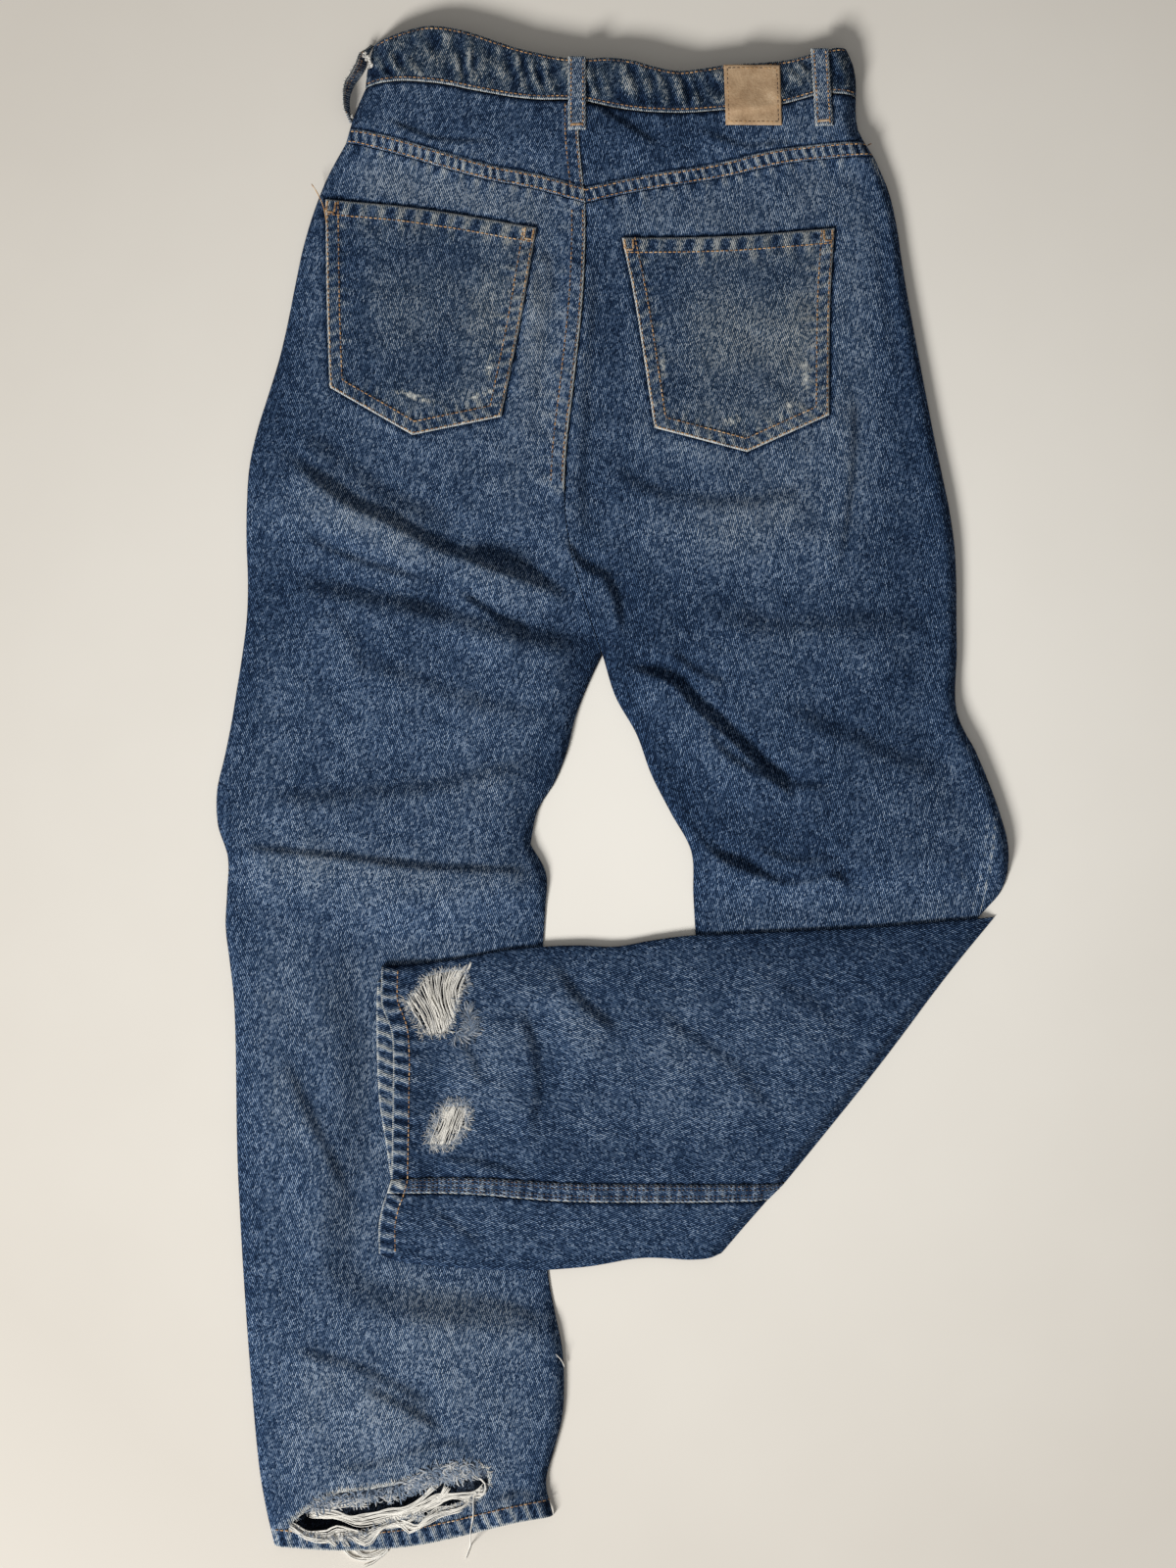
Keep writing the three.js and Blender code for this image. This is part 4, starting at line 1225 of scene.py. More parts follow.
# %% Left back panel
centre_seam = cut["back_left_leg"]["right"]
centre_seam = centre_seam[: nearest(centre_seam, places((-38, 214))[0]) + 1]
left_hem = cut["back_left_leg"]["bottom"]
left_bands = [
    band(centre_seam, CENTRE_WIDE, 0.6, 7.5, 0.3, 0.22, pale=0.34, edge_pale=1.1, step=1.6, seed=50),
    band(left_hem, HEM_WIDE, 0.9, 9.6, slant=0.2, swell=0.5, pale=0.8, edge_pale=0.7, seed=52),
    groove_shade_and_rub(pocket_rings["pocket_left"], 0.5, 0.9, 1.9),
    groove_shade_and_rub(cut["back_left_leg"]["top"], 0.0, 0.35, 0.8),
    puckers(cut["back_left_leg"]["top"], 0.0, 9.0, 12.0, 0.42, 0.5, 54),
    puckers(centre_seam, CENTRE_WIDE, 8.0, 15.0, 0.28, 0.4, 56),
    puckers(pocket_rings["pocket_left"], 0.0, 6.0, 13.0, 0.2, 0.3, 58),
    puckers(left_hem, HEM_WIDE, 9.0, 12.0, 0.3, 0.5, 59),
    torn_edge(tears["back_left_leg"]),
]
left_top, left_wear_and_shade = banded(lay_top, lay_wear_and_shade, left_bands, 3)
left_keep, left_grid = open_tears(net(cut["back_left_leg"], 2.7, 0.9), tears["back_left_leg"])
back_left = cloth("denim_back_left", left_grid, left_top, under(CLOTH), left_wear_and_shade, 1.0, left_keep)
register(back_left, "denim", "back_left_leg")

# %% Right back panel
right_bands = [
    groove_shade_and_rub(pocket_rings["pocket_right"], 0.5, 0.9, 1.9),
    groove_shade_and_rub(cut["back_right_leg"]["top"], 0.0, 0.35, 0.8),
    groove_shade_and_rub(centre_seam, 0.6, 0.9, 1.6),
    groove_shade_and_rub(places((273, -16), (271, -40), (268, -62), (263, -86)), 0.0, -0.9, 0.8),
    groove_shade_and_rub(places((268, -16), (266, -40), (263, -62), (258, -84)), 0.2, -0.6, 0.7),
    groove_shade_and_rub(places((186, 448), (190, 438), (193, 430)), 0.3, -0.7, 0.9),
    puckers(cut["back_right_leg"]["top"], 0.0, 9.0, 12.0, 0.42, 0.5, 55),
    puckers(centre_seam, 0.0, 7.0, 15.0, 0.2, 0.4, 57),
    puckers(pocket_rings["pocket_right"], 0.0, 6.0, 13.0, 0.2, 0.3, 60),
]
right_top, right_wear_and_shade = banded(lay_top, lay_wear_and_shade, right_bands)
right_grid = net(cut["back_right_leg"], 2.7, 0.9)
back_right = cloth("denim_back_right", right_grid, right_top, under(CLOTH), right_wear_and_shade, 6.0)
register(back_right, "denim", "back_right_leg")

# %% [markdown]
# ## Yokes
# The yokes shape the back above the seat. The seat panels are felled over them with a band
# 10 mm high, whose upper edge is a sharp step, and the left yoke also carries the centre
# band. Along their top, below the waistband's lower edge, shade is painted in a thin line.

# %% Yokes
yoke_tops = {}
for node, turn in (("yoke_left", -4.0), ("yoke_right", 6.0)):
    sides = cut[node]
    low = sides["bottom"]
    bands = [
        band(low, 10.0, 0.9, 6.6, slant=0.25, swell=0.34, pale=0.8, edge_pale=0.1, step=0.7, seed=60),
        groove_shade_and_rub(offset(low, 11.2), 0.35, 0.75, 0.8),
        groove_shade_and_rub(sides["top"], 0.5, 0.9, 1.5),
        puckers(sides["top"], 0.0, 7.0, 13.0, 0.25, 0.35, 66),
        puckers(low, 11.5, 6.0, 11.0, 0.18, 0.35, 67),
        groove_shade_and_rub(coarse(offset(low, 9.7), 4), 0.0, -0.8, 0.6),
    ]
    if node == "yoke_left":
        centre = sides["right"]
        bands.append(band(centre, 10.5, 0.5, 7.0, swell=0.15, pale=0.25, edge_pale=1.0, step=1.2, seed=64))
    else:
        bands.append(groove_shade_and_rub(sides["left"], 0.4, 0.6, 1.2))
    yoke_tops[node], yoke_wear_and_shade = banded(lay_top, lay_wear_and_shade, bands, 2)
    piece = cloth("denim_" + node, net(sides, 1.3, 0.6), yoke_tops[node], under(CLOTH), yoke_wear_and_shade, turn)
    register(piece, "denim", node)

# %% [markdown]
# ## Waistband
# The band is a doubled strip, sewn along both edges. Washing shrinks the cloth more than the
# thread, so it puckers between the two rows: short slanting waves, deep near the stitches.

# %% Back waistband
waist_sides = cut["waistband_back"]
waist_low, waist_high = (coarse(waist_sides[side], 5) for side in ("bottom", "top"))


def pucker(x, y):
    """Drag lines between the two rows of stitches."""
    gap_low, place = along(waist_low, x, y, 50)
    gap_high = np.abs(along(waist_high, x, y, 50)[0])
    gap_low = np.abs(gap_low)
    drift = 3.4 * ruffle(place, gap_low * 0.8, 26, 81)
    wave = np.sin(TAU * (place + 0.35 * gap_low) / 12.5 + drift)
    wave = wave * (0.55 + 0.8 * ruffle(place * 1.0, gap_low, 15, 82))
    wave += 0.95 * ruffle(place * 1.3, gap_low * 0.75, 9, 83)
    return wave * (smooth(gap_low, 1.2, 7) * smooth(gap_high, 1.2, 6))


def waist_rise(x, y):
    rounded = 1.2 * round_over(distance([waist_low, waist_high], x, y, 30), 2.2) - 0.2
    return lay_top(x, y) + rounded + 1.05 * pucker(x, y)


def waist_underside(x, y, high):
    return np.maximum(TABLE_GAP, lay_top(x, y) - CLOTH - 0.1)


waist_bands = [
    groove_shade_and_rub(waist_sides["bottom"], 0.0, -1.1, 0.75),
    groove_shade_and_rub(waist_sides["top"], 0.0, -0.5, 0.8),
    groove_shade_and_rub(offset(coarse(waist_sides["bottom"], 4), 2.4), 0.25, 0.25, 0.8),
    groove_shade_and_rub(offset(coarse(waist_sides["top"], 4), -2.0), 0.25, 0.3, 0.8),
]
waist_top, waist_wear_and_shade = banded(
    waist_rise, lambda x, y: lay_wear_and_shade(x, y) - 0.10 + 0.52 * pucker(x, y), waist_bands
)
waist_grid = net(waist_sides, 1.3, 0.6)
faces = [denim_band, denim_inside]
waistband = cloth(
    "denim_waistband", waist_grid, waist_top, waist_underside, waist_wear_and_shade, -3.0, finishes=faces
)
register(waistband, "denim", "waistband_back")

# %% [markdown]
# ## Back pockets
# Each pocket is a five-sided patch with a turned top hem and a double row of stitches round
# the rest. Its middle is rubbed pale, its edges are rubbed white, and near the lower corners
# the rubbing has gone through to the cotton in a few small spots.

# %% Pockets
POCKET_LIFT = 0.35
POCKET_THICK = 1.0
THREADBARE = {
    "pocket_left": [((-87, 300), 1.6, 5.0, -12), ((-91, 282), 4.0, 1.3, 12), ((-98, 279), 1.5, 1.5),
                    ((-137, 278), 7.0, 1.1, -14), ((-146, 281), 5.0, 0.9, -14)],
    "pocket_right": [((138, 291), 1.5, 4.0), ((136, 302), 2.2, 1.2), ((126, 273), 1.6, 1.6),
                     ((85, 262), 4.0, 1.4, 12), ((36, 300), 1.0, 5.0)],
}


def middle_of(sides):
    return np.mean([sides["top"].mean(0), sides["bottom"].mean(0)], axis=0)


def pocket_surfaces(node, paler):
    """The height of a pocket, and its fading and painted shade."""
    top_line, rest = pocket_edges[node]
    edges = [coarse(line, 5) for line in pocket_edges[node]]
    bands = [
        band(rest, 9.5, 0.55, 8.0, slant=0.5, swell=0.34, pale=0.40, edge_pale=1.0, step=1.6, seed=90),
        band(top_line, POCKET_HEM_WIDE, 0.6, 12.8, 0.2, 0.36, pale=0.6, edge_pale=0.8, seed=92),
        puckers(top_line, POCKET_HEM_WIDE, 7.0, 12.8, 0.35, 0.35, 93),
        puckers(rest, 9.6, 7.0, 9.0, 0.32, 0.3, 94),
    ]
    middle = middle_of(cut[node]) - LAY_SHIFT
    # The middle oval and the pale strip on the right are fading. The darker strips inside the left edge,
    # below the top hem and near the bottom are painted shade beside the raised rows.
    faded_and_shaded = patches(
        (paler, middle, 40, 56),
        (0.14, middle + (46, 8), 9, 50, -12),
        (-0.24, middle + (-48, 14), 9, 50, 6),
        (-0.20, middle + (0, 42), 60, 10),
        (-0.20, middle + (0, -38), 44, 12),
    )
    spots = patches(*[(2.4, *spot) for spot in THREADBARE[node]])

    def rise(x, y):
        edge = distance(edges, x, y, 30)
        own = 0.5 * ruffle(x, y, 30, 95) * smooth(edge, 4, 20)
        return lay_top(x, y) + POCKET_LIFT + POCKET_THICK * round_over(edge, 1.8) + own

    top, banded_wear_and_shade = banded(rise, lambda x, y: 0.6 * lay_wear_and_shade(x, y), bands)

    def wear(x, y):
        threadbare = spots(x, y) * (0.3 + 1.2 * ruffle(x * 0.6, y, 1.9, 97))
        return banded_wear_and_shade(x, y) + faded_and_shaded(x, y) + np.maximum(0, threadbare)

    return top, wear


def pocket_low(x, y, high):
    return lay_top(x, y) + 0.1


pocket_tops = {}
for node, turn, paler in (("pocket_left", 4.0, -0.08), ("pocket_right", 2.0, 0.08)):
    pocket_tops[node], pocket_wear_and_shade = pocket_surfaces(node, paler)
    grid = net(cut[node], 1.5, 0.6, halves=True)
    faces = [denim_pocket, denim_inside]
    piece = cloth(
        "denim_" + node, grid, pocket_tops[node], pocket_low, pocket_wear_and_shade, turn, finishes=faces
    )
    register(piece, "denim", node)

# %% [markdown]
# ## Belt loops and patch
# The loops are folded strips sewn over the waistband, so each one steps down from the band to
# the yoke. Their side edges are rubbed pale. The bare leather patch bridges the same step. The
# loop at the left side stands away from the garment, and shows its dark inner face with the
# zigzag that closes the strip.

# %% What lies over the waistband


def over_band(x, y):
    """Top of the waistband, falling to the yoke below its seam."""
    up, _ = along(waist_low, x, y, 90)
    return lay_top(x, y) + 0.2 + 1.5 * smooth(up, -5.5, 0.5)


def strap(name, node, rise, pitch=0.8, turn=0.0, finishes=None, edge_pale=0.8, pale_ends=0.5):
    sides = cut[node]
    long_edges = [coarse(sides["left"], 6), coarse(sides["right"], 6)]
    ends = [coarse(sides["top"], 6), coarse(sides["bottom"], 6)]
    rows = [offset(long_edges[0], 2.0), offset(long_edges[1], -2.0)]

    def top(x, y):
        edge = distance(long_edges + ends, x, y, 30)
        rounded = (rise - 0.5) * round_over(edge, 1.6)
        pressed = 0.22 * bell(distance(rows, x, y, 20), 0.7)
        return over_band(x, y) + 0.5 + rounded - pressed + 0.12 * ruffle(x, y, 7, 101)

    def low(x, y, high):
        return over_band(x, y) + 0.05

    def wear(x, y):
        rubbed = edge_pale * bell(distance(long_edges, x, y, 20), 1.1)
        rubbed += pale_ends * bell(distance(ends, x, y, 20), 1.4)
        return rubbed * (0.8 + 0.5 * ruffle(x, y, 5, 103)) + 0.16 + 0.2 * ruffle(x, y, 9, 104)

    piece = cloth(name, net(sides, pitch, 0.4), top, low, wear, turn, finishes=finishes)
    register(piece, "denim" if finishes is None else "leather", node)
    return top


loop_tops = {}
for node, turn in (("belt_loop_centre", 0.0), ("belt_loop_right_back", -4.0)):
    loop_tops[node] = strap("denim_" + node, node, 1.9, turn=turn)
patch_top = strap(
    "leather_patch", "waist_patch", 1.3, 1.0, finishes=[leather, leather], edge_pale=-0.35, pale_ends=-0.3
)

# %% Loop that stands off the left side
BOWED = places(
    (-171, 531), (-175, 523), (-176, 516), (-179, 510), (-184, 503), (-187.3, 495), (-187.6, 486),
    (-186, 476),
)
BOWED_LOW = 0.4
BOWED_HIGH = 10.6
BOWED_ENDS = 3.2
BOWED_DEEP = BOWED_HIGH - BOWED_LOW
STRAP_WIDE = 10.0
bowed_line = smooth_line(BOWED, 1.0, sharp=90)
bowed_share = arc(bowed_line) / arc(bowed_line)[-1]


def bowed_lean(share):
    """How far the strap leans out for each millimetre of height."""
    return np.interp(share, [0.0, 0.14, 0.3, 0.5, 0.7, 1.0], [0.25, 0.45, 0.68, 0.62, 0.34, 0.25])


def bowed_spots(h, out):
    """Points of the strap's face at height share `h`, moved outward by `out`."""
    ends = smooth(bowed_share, 0, 0.16) * (1 - smooth(bowed_share, 0.86, 1.0))
    z = BOWED_LOW + (BOWED_ENDS + (BOWED_DEEP - BOWED_ENDS) * ends) * h
    flat = bowed_line - leftward(np.gradient(bowed_line, axis=0)) * out
    return np.stack([flat[:, 0] - bowed_lean(bowed_share) * (z - BOWED_LOW), flat[:, 1], z], -1)


def bowed_height(x, y):
    """Height of the strap's inner face above a point of the plan."""
    share = np.interp(-y, -bowed_line[:, 1], bowed_share)
    foot = np.interp(-y, -bowed_line[:, 1], bowed_line[:, 0])
    return BOWED_LOW + 1.3 + np.clip((foot - x) / bowed_lean(share), 0, BOWED_DEEP - 0.6)


def bowed_strap():
    levels = crowded(STRAP_WIDE, 0.4, 0.7)
    bulge = [math.sin(math.pi * min(h, 1 - h)) ** 0.2 for h in levels]
    faces_of = [np.stack([bowed_spots(h, s * b) for h, b in zip(levels, bulge)]) for s in (1.0, -1.0)]
    rows, columns = faces_of[0].shape[:2]
    faces = wall(grid_quads(rows, columns).reshape(-1, 4), rows * columns)
    points = np.concatenate(faces_of).reshape(-1, 3)
    places_on = np.stack(np.meshgrid(arc(bowed_line), levels * STRAP_WIDE), -1)
    grain = np.tile(places_on.reshape(-1, 2), (2, 1))
    edge = np.tile(np.minimum(levels, 1 - levels)[:, None] * STRAP_WIDE, (1, columns)).ravel()
    wear = np.concatenate([-0.6 + 1.5 * bell(edge, 0.7), 0.2 + 0.9 * bell(edge, 0.8)])
    return make_mesh("denim_belt_loop_left_back", points, faces, [denim_face], None, grain, wear)


register(bowed_strap(), "denim", "belt_loop_left_back")

# %% [markdown]
# ## The folded lower leg
# The right leg is folded over a diagonal crease and shows its front panel, with its grain
# turned a quarter. Three strips lie side by side: the front panel, the felled inseam and a
# strip of the back panel. The turned hem at their left end is roped and stands up highest.

# %% Folded panels
FOLDED = ("folded_front_panel", "folded_inseam", "folded_back_strip")
fold_hem = np.concatenate([cut[node]["left"][min(i, 1) :] for i, node in enumerate(FOLDED)])
inseam_low = cut["folded_inseam"]["bottom"]
inseam_high = cut["folded_inseam"]["top"]
hem_band = band(fold_hem, HEM_WIDE, 0.5, 10.0, slant=-0.2, swell=0.6, pale=0.85, edge_pale=0.9, seed=110)
fold_bands = {
    "folded_front_panel": [
        hem_band,
        torn_edge(tears["folded_front_panel"]),
        groove_shade_and_rub(inseam_high, 0.4, 0.8, 1.4),
        puckers(fold_hem, HEM_WIDE, 9.0, 13.0, 0.3, 0.6, 115),
        puckers(inseam_high, 0.0, 6.0, 15.0, 0.15, 0.4, 116),
    ],
    "folded_inseam": [
        hem_band,
        groove_shade_and_rub(inseam_low, 0.0, -1.0, 0.7),
        groove_shade_and_rub(inseam_high, 0.0, -0.5, 0.6),
    ],
    "folded_back_strip": [
        hem_band,
        groove_shade_and_rub(inseam_low, 0.5, 1.1, 1.7),
        puckers(fold_hem, HEM_WIDE, 8.0, 13.0, 0.3, 0.5, 117),
        puckers(inseam_low, 0.0, 8.0, 17.0, 0.15, 0.5, 118),
    ],
}
inseam_edges = [coarse(inseam_high, 5), coarse(inseam_low, 5)]


def seam_waves(x, y):
    _, place = along(inseam_low, x, y, 40)
    return np.sin(TAU * place / 9.0 + 2.0 * ruffle(place, place * 0, 25, 113))


def inseam_rise(x, y):
    rounded = round_over(distance(inseam_edges, x, y, 30), 2.0)
    return fold_top(x, y) + 1.0 * rounded + 0.22 * seam_waves(x, y)


def inseam_wear_and_shade(x, y):
    return fold_wear_and_shade(x, y) + (0.12 + 0.25 * seam_waves(x, y))


def fold_low(x, y, high):
    hem = 1 - smooth(x, -147, -145)
    return np.maximum(0.1, fold_top(x, y) - CLOTH - 1.3 * hem)


fold_tops = {}
for node, top, wear, pitch in (
    ("folded_front_panel", fold_top, fold_wear_and_shade, 2.1),
    ("folded_inseam", inseam_rise, inseam_wear_and_shade, 1.0),
    ("folded_back_strip", fold_top, fold_wear_and_shade, 1.7),
):
    fold_tops[node], piece_wear_and_shade = banded(top, wear, fold_bands[node])
    keep, grid = open_tears(net(cut[node], pitch, 0.7), tears[node])
    piece = cloth("denim_" + node, grid, fold_tops[node], fold_low, piece_wear_and_shade, -90.0, keep)
    register(piece, "denim", node)

# %% [markdown]
# ## Layers that lie underneath
# The front panels, the front waistband, its loops and the fly lie on the table. The back of
# the folded leg shows through its tears. They are modelled as plain thin shells, with softer
# folds, because they are seen only at the edges and through the tears.

# %% Lower layers
# Shadow painted into the wrong side of the lower layers where it shows through the tears: at the left hem and
# under the two tears in the folded leg.
painted_hole_shadow = patches(
    (-1.4, (-190, -524), 34, 8),
    (-0.6, (-142, -512), 22, 10),
    (-0.2, (-110, -500), 18, 8),
    (-0.9, (-118, -150), 16, 20),
    (-0.7, (-116, -238), 14, 14),
)


def level(height):
    return lambda x, y: height + 0 * x


def flat_layer(node, height_of, thickness, pitch, inside_up, lump, turn=0.0, name=None):
    """A plain layer. With `inside_up` the wrong side of its cloth looks up."""

    def top(x, y):
        return height_of(x, y) + lump * ruffle(x, y, 30, 121)

    def wear(x, y):
        return 0.15 * ruffle(x, y, 20, 122) + painted_hole_shadow(x, y)

    grid = net(cut[node], pitch, 0.8)
    finishes = [denim_inside, denim_face] if inside_up else None
    piece = cloth(name or "denim_" + node, grid, top, under(thickness), wear, turn, finishes=finishes)
    register(piece, "denim_inside" if inside_up else "denim", node)


for node, height, thickness, pitch, inside_up, lump in (
    ("front_left_leg", 1.15, 0.95, 8.0, True, 0.15),
    ("front_right_leg", 1.15, 0.95, 8.0, True, 0.15),
    ("waistband_front", 1.7, 1.4, 3.0, False, 0.05),
    ("belt_loop_front_left", 0.25, 0.2, 2.0, False, 0.02),
    ("belt_loop_front_right", 0.25, 0.2, 2.0, False, 0.02),
    ("fly_facing", 0.25, 0.2, 4.0, True, 0.02),
):
    flat_layer(node, level(height), thickness, pitch, inside_up, lump)

far_hem_edge = [coarse(cut["folded_far_hem"]["left"], 6)]


def far_hem_waves(x, y):
    return np.sin(TAU * (y + 0.4 * x) / 9.5)


def far_hem_top(x, y):
    rounded = round_over(distance(far_hem_edge, x, y, 30), 2.0)
    return FOLD_FLOOR + 0.7 + 1.0 * rounded + 0.25 * far_hem_waves(x, y)


def far_hem_wear(x, y):
    return 0.9 * bell(distance(far_hem_edge, x, y, 30), 0.9) + 0.5 * far_hem_waves(x, y) + 0.1


grid = net(cut["folded_far_hem"], 1.0, 0.5)
far_hem = cloth("denim_folded_far_hem", grid, far_hem_top, under(1.4), far_hem_wear, -90.0)
register(far_hem, "denim", "folded_far_hem")


def core_top(drop, lower):
    return lambda x, y: np.maximum(FOLD_FLOOR + 1.3, fold_smooth(x, y) - drop) - lower


for number, drop, lower in ((1, 2.3, 0.0), (2, 3.4, 0.5)):
    name = "denim_folded_layer_%d" % number
    flat_layer("folded_hidden_layers", core_top(drop, lower), 0.8, 6.0, True, 0.1, -90.0, name)

# %% [markdown]
# ## Topstitching
# Jeans are sewn with heavy thread, about three stitches to the centimetre. A row of stitches
# is many copies of one small part, which geometry nodes could place. Arrays do the same: one
# six-sided bead with flat ends is laid along each row, follows the cloth under it, and all
# the beads of a row become one mesh.

# %% Beads along a line
STITCH_PITCH = 3.3
ZIGZAG_STEP = 0.62
BEAD_SIDES = 6
BEAD_RINGS = [(-0.5, 0.45, -0.9), (-0.34, 0.9, 0.2), (0.34, 0.9, 0.2), (0.5, 0.45, -0.9)]
stitch_rows = {}


def bead_template():
    angles = np.arange(BEAD_SIDES) * TAU / BEAD_SIDES
    rings = [
        np.stack([np.full(BEAD_SIDES, place), size * np.cos(angles), size * np.sin(angles) + lift], -1)
        for place, size, lift in BEAD_RINGS
    ]
    number = np.arange(len(rings) * BEAD_SIDES).reshape(-1, BEAD_SIDES)
    turned = np.roll(number, -1, axis=1)
    sides = np.stack([number[:-1], turned[:-1], turned[1:], number[1:]], -1).reshape(-1, 4)
    caps = np.array([[0, 3, 2, 1], [0, 5, 4, 3], [18, 19, 20, 21], [18, 21, 22, 23]])
    return np.concatenate(rings), np.concatenate([sides, caps])


BEAD, BEAD_FACES = bead_template()


def stitch_row(group, line, top, tone=0.0, length=2.5, width=0.5, height=0.36, pitch=STITCH_PITCH):
    """Adds one row of stitches on the surface `top` to a group."""
    chance = np.random.default_rng(200 + len(stitch_rows.setdefault(group, [])))
    whole = arc(line)[-1]
    count = max(1, int(whole / pitch))
    middles = (np.arange(count) + 0.5) * whole / count
    ends = [at_length(line, middles + side * length / 2) for side in (-1, 1)]
    ends = np.stack(ends) + chance.normal(0, 0.05, (2, count, 2))
    wear = tone + chance.uniform(-0.22, 0.22, count)
    stitch_rows[group].append((top, ends, wear, width, height))


def heights(parts):
    """Heights of many small sets of points. Sets on the same surface are measured together."""
    found = [None] * len(parts)
    for top in {part[0] for part in parts}:
        chosen = [i for i, part in enumerate(parts) if part[0] is top]
        flat = np.concatenate([parts[i][1].reshape(-1, 2) for i in chosen])
        z = top(flat[:, 0], flat[:, 1])
        stops = np.cumsum([parts[i][1].size // 2 for i in chosen])[:-1]
        for i, values in zip(chosen, np.split(z, stops)):
            found[i] = values.reshape(parts[i][1].shape[:-1])
    return found


def beads(ends, z, width, height):
    """Corner points of one row of stitches between `ends`, whose heights and middle are `z`."""
    start, end = ends
    heading = end - start
    share = BEAD[:, 0]
    flat = ((start + end) / 2)[:, None] + heading[:, None] * share[None, :, None]
    flat = flat + leftward(heading)[:, None] * (BEAD[:, 1] * width)[None, :, None]
    first, last, middle = z
    bow = middle - (first + last) / 2
    high = (first + last)[:, None] / 2 + (last - first)[:, None] * share
    high = high + bow[:, None] * (1 - (2 * share) ** 2) + BEAD[:, 2] * height + 0.06
    return np.dstack([flat, high])


def gather(name, group, slot, finish, *nodes):
    """Turns the rows of a group into one object."""
    rows = stitch_rows[group]
    found = heights([(row[0], np.stack([*row[1], row[1].mean(0)])) for row in rows])
    spots = np.concatenate([beads(row[1], z, row[3], row[4]) for row, z in zip(rows, found)])
    wear = np.concatenate([row[2] for row in rows])
    count = len(spots)
    faces = (BEAD_FACES[None] + len(BEAD) * np.arange(count)[:, None, None]).reshape(-1, 4)
    piece = make_mesh(name, spots.reshape(-1, 3), faces, [finish], wear=np.repeat(wear, len(BEAD)))
    return register(piece, slot, *nodes)


def bartack(group, centre, heading, top, long, wide):
    """A short dense zigzag that locks a corner."""
    heading = np.array(heading, float) / math.hypot(*heading)
    side = np.array([-heading[1], heading[0]])
    count = int(long / ZIGZAG_STEP)
    for i in range(count):
        middle = np.asarray(centre) + heading * (i - (count - 1) / 2) * ZIGZAG_STEP
        ends = np.array([middle - side * wide / 2, middle + side * wide / 2])
        stitch_row(group, ends, top, 0.3, length=wide, width=0.3, height=0.34, pitch=wide * 0.9)


def toward(line, by, centre):
    """The line moved by a distance towards a point."""
    moved = (offset(line, by), offset(line, -by))
    return min(moved, key=lambda c: np.hypot(*(c[len(c) // 2] - np.asarray(centre))))


def sewn(group, line, insets, centre, top, ends=(1.5,), **look):
    """Rows beside a line, each moved in towards `centre` and shortened at its ends."""
    for by in insets:
        stitch_row(group, trimmed(toward(line, by, centre), *ends), top, **look)


print("a stitch has", len(BEAD), "points and", len(BEAD_FACES), "faces")

# %% Rows on the waistband, loops and patch
waist_middle = places((0, 508))[0]
for side, by in (("bottom", 2.3), ("top", 1.9)):
    sewn("waistband", waist_sides[side], [by], waist_middle, waist_top, tone=-0.02)
gather("topstitching_waistband", "waistband", "thread", thread)

for node, top in loop_tops.items():
    sides = cut[node]
    for side in ("left", "right"):
        sewn("loops", sides[side], [2.1], middle_of(sides), top, tone=0.06, length=2.2, pitch=2.9)
    foot = sides["bottom"].mean(0)
    head = sides["top"].mean(0)
    up = (head - foot) / np.hypot(*(head - foot))
    bartack("loops", foot + up * 3.6, (-up[1], up[0]), top, 9.0, 2.0)

strap_reach = bowed_lean(bowed_share) * BOWED_DEEP


def bowed_row(share):
    """The line at a share of the strap's height, as seen from above."""
    return bowed_line - np.stack([strap_reach * share, 0 * bowed_share], -1)


for share, tone in ((0.50, 0.0), (0.74, -0.25)):
    row = trimmed(bowed_row(share), 7.0, 5.0)
    stitch_row("loops", row, bowed_height, tone=tone, length=2.2, pitch=2.6)
for i in range(6, len(bowed_line) - 8):
    near = bowed_line[i] - (strap_reach[i] * 0.14, 0)
    far = bowed_line[i + 1] - (strap_reach[i] * 0.66, 0)
    ends = np.array([near, far])
    wide = float(np.hypot(*(ends[1] - ends[0])))
    stitch_row("loops", ends, bowed_height, tone=-0.42, length=wide, width=0.24, pitch=wide * 0.9)
gather("topstitching_loops", "loops", "thread", thread)

patch_look = {"tone": -0.05, "length": 2.3, "width": 0.36, "height": 0.2, "pitch": 3.0}
patch_sides = cut["waist_patch"]
for side in ("left", "right", "top", "bottom"):
    sewn("patch", patch_sides[side], [2.4], middle_of(patch_sides), patch_top, (2.4,), **patch_look)
gather("topstitching_patch", "patch", "thread", thread)

# %% Rows on the yokes and the centre seam
for node, top in yoke_tops.items():
    sewn("yokes", cut[node]["bottom"], (1.2, 8.6), middle_of(cut[node]), top, (1.2,), tone=0.05)
yoke_centre = places((-80, 460))[0]
centre_line = cut["yoke_left"]["right"]
sewn("yokes", centre_line, (1.6, 9.2), yoke_centre, yoke_tops["yoke_left"], (1.5, 11.0), tone=-0.1)
gather("topstitching_yokes", "yokes", "thread", thread)

sewn("centre", centre_seam, (1.8, 9.6), places((-120, 300))[0], left_top, (4.0,), tone=-0.12)
gather("topstitching_centre", "centre", "thread", thread)

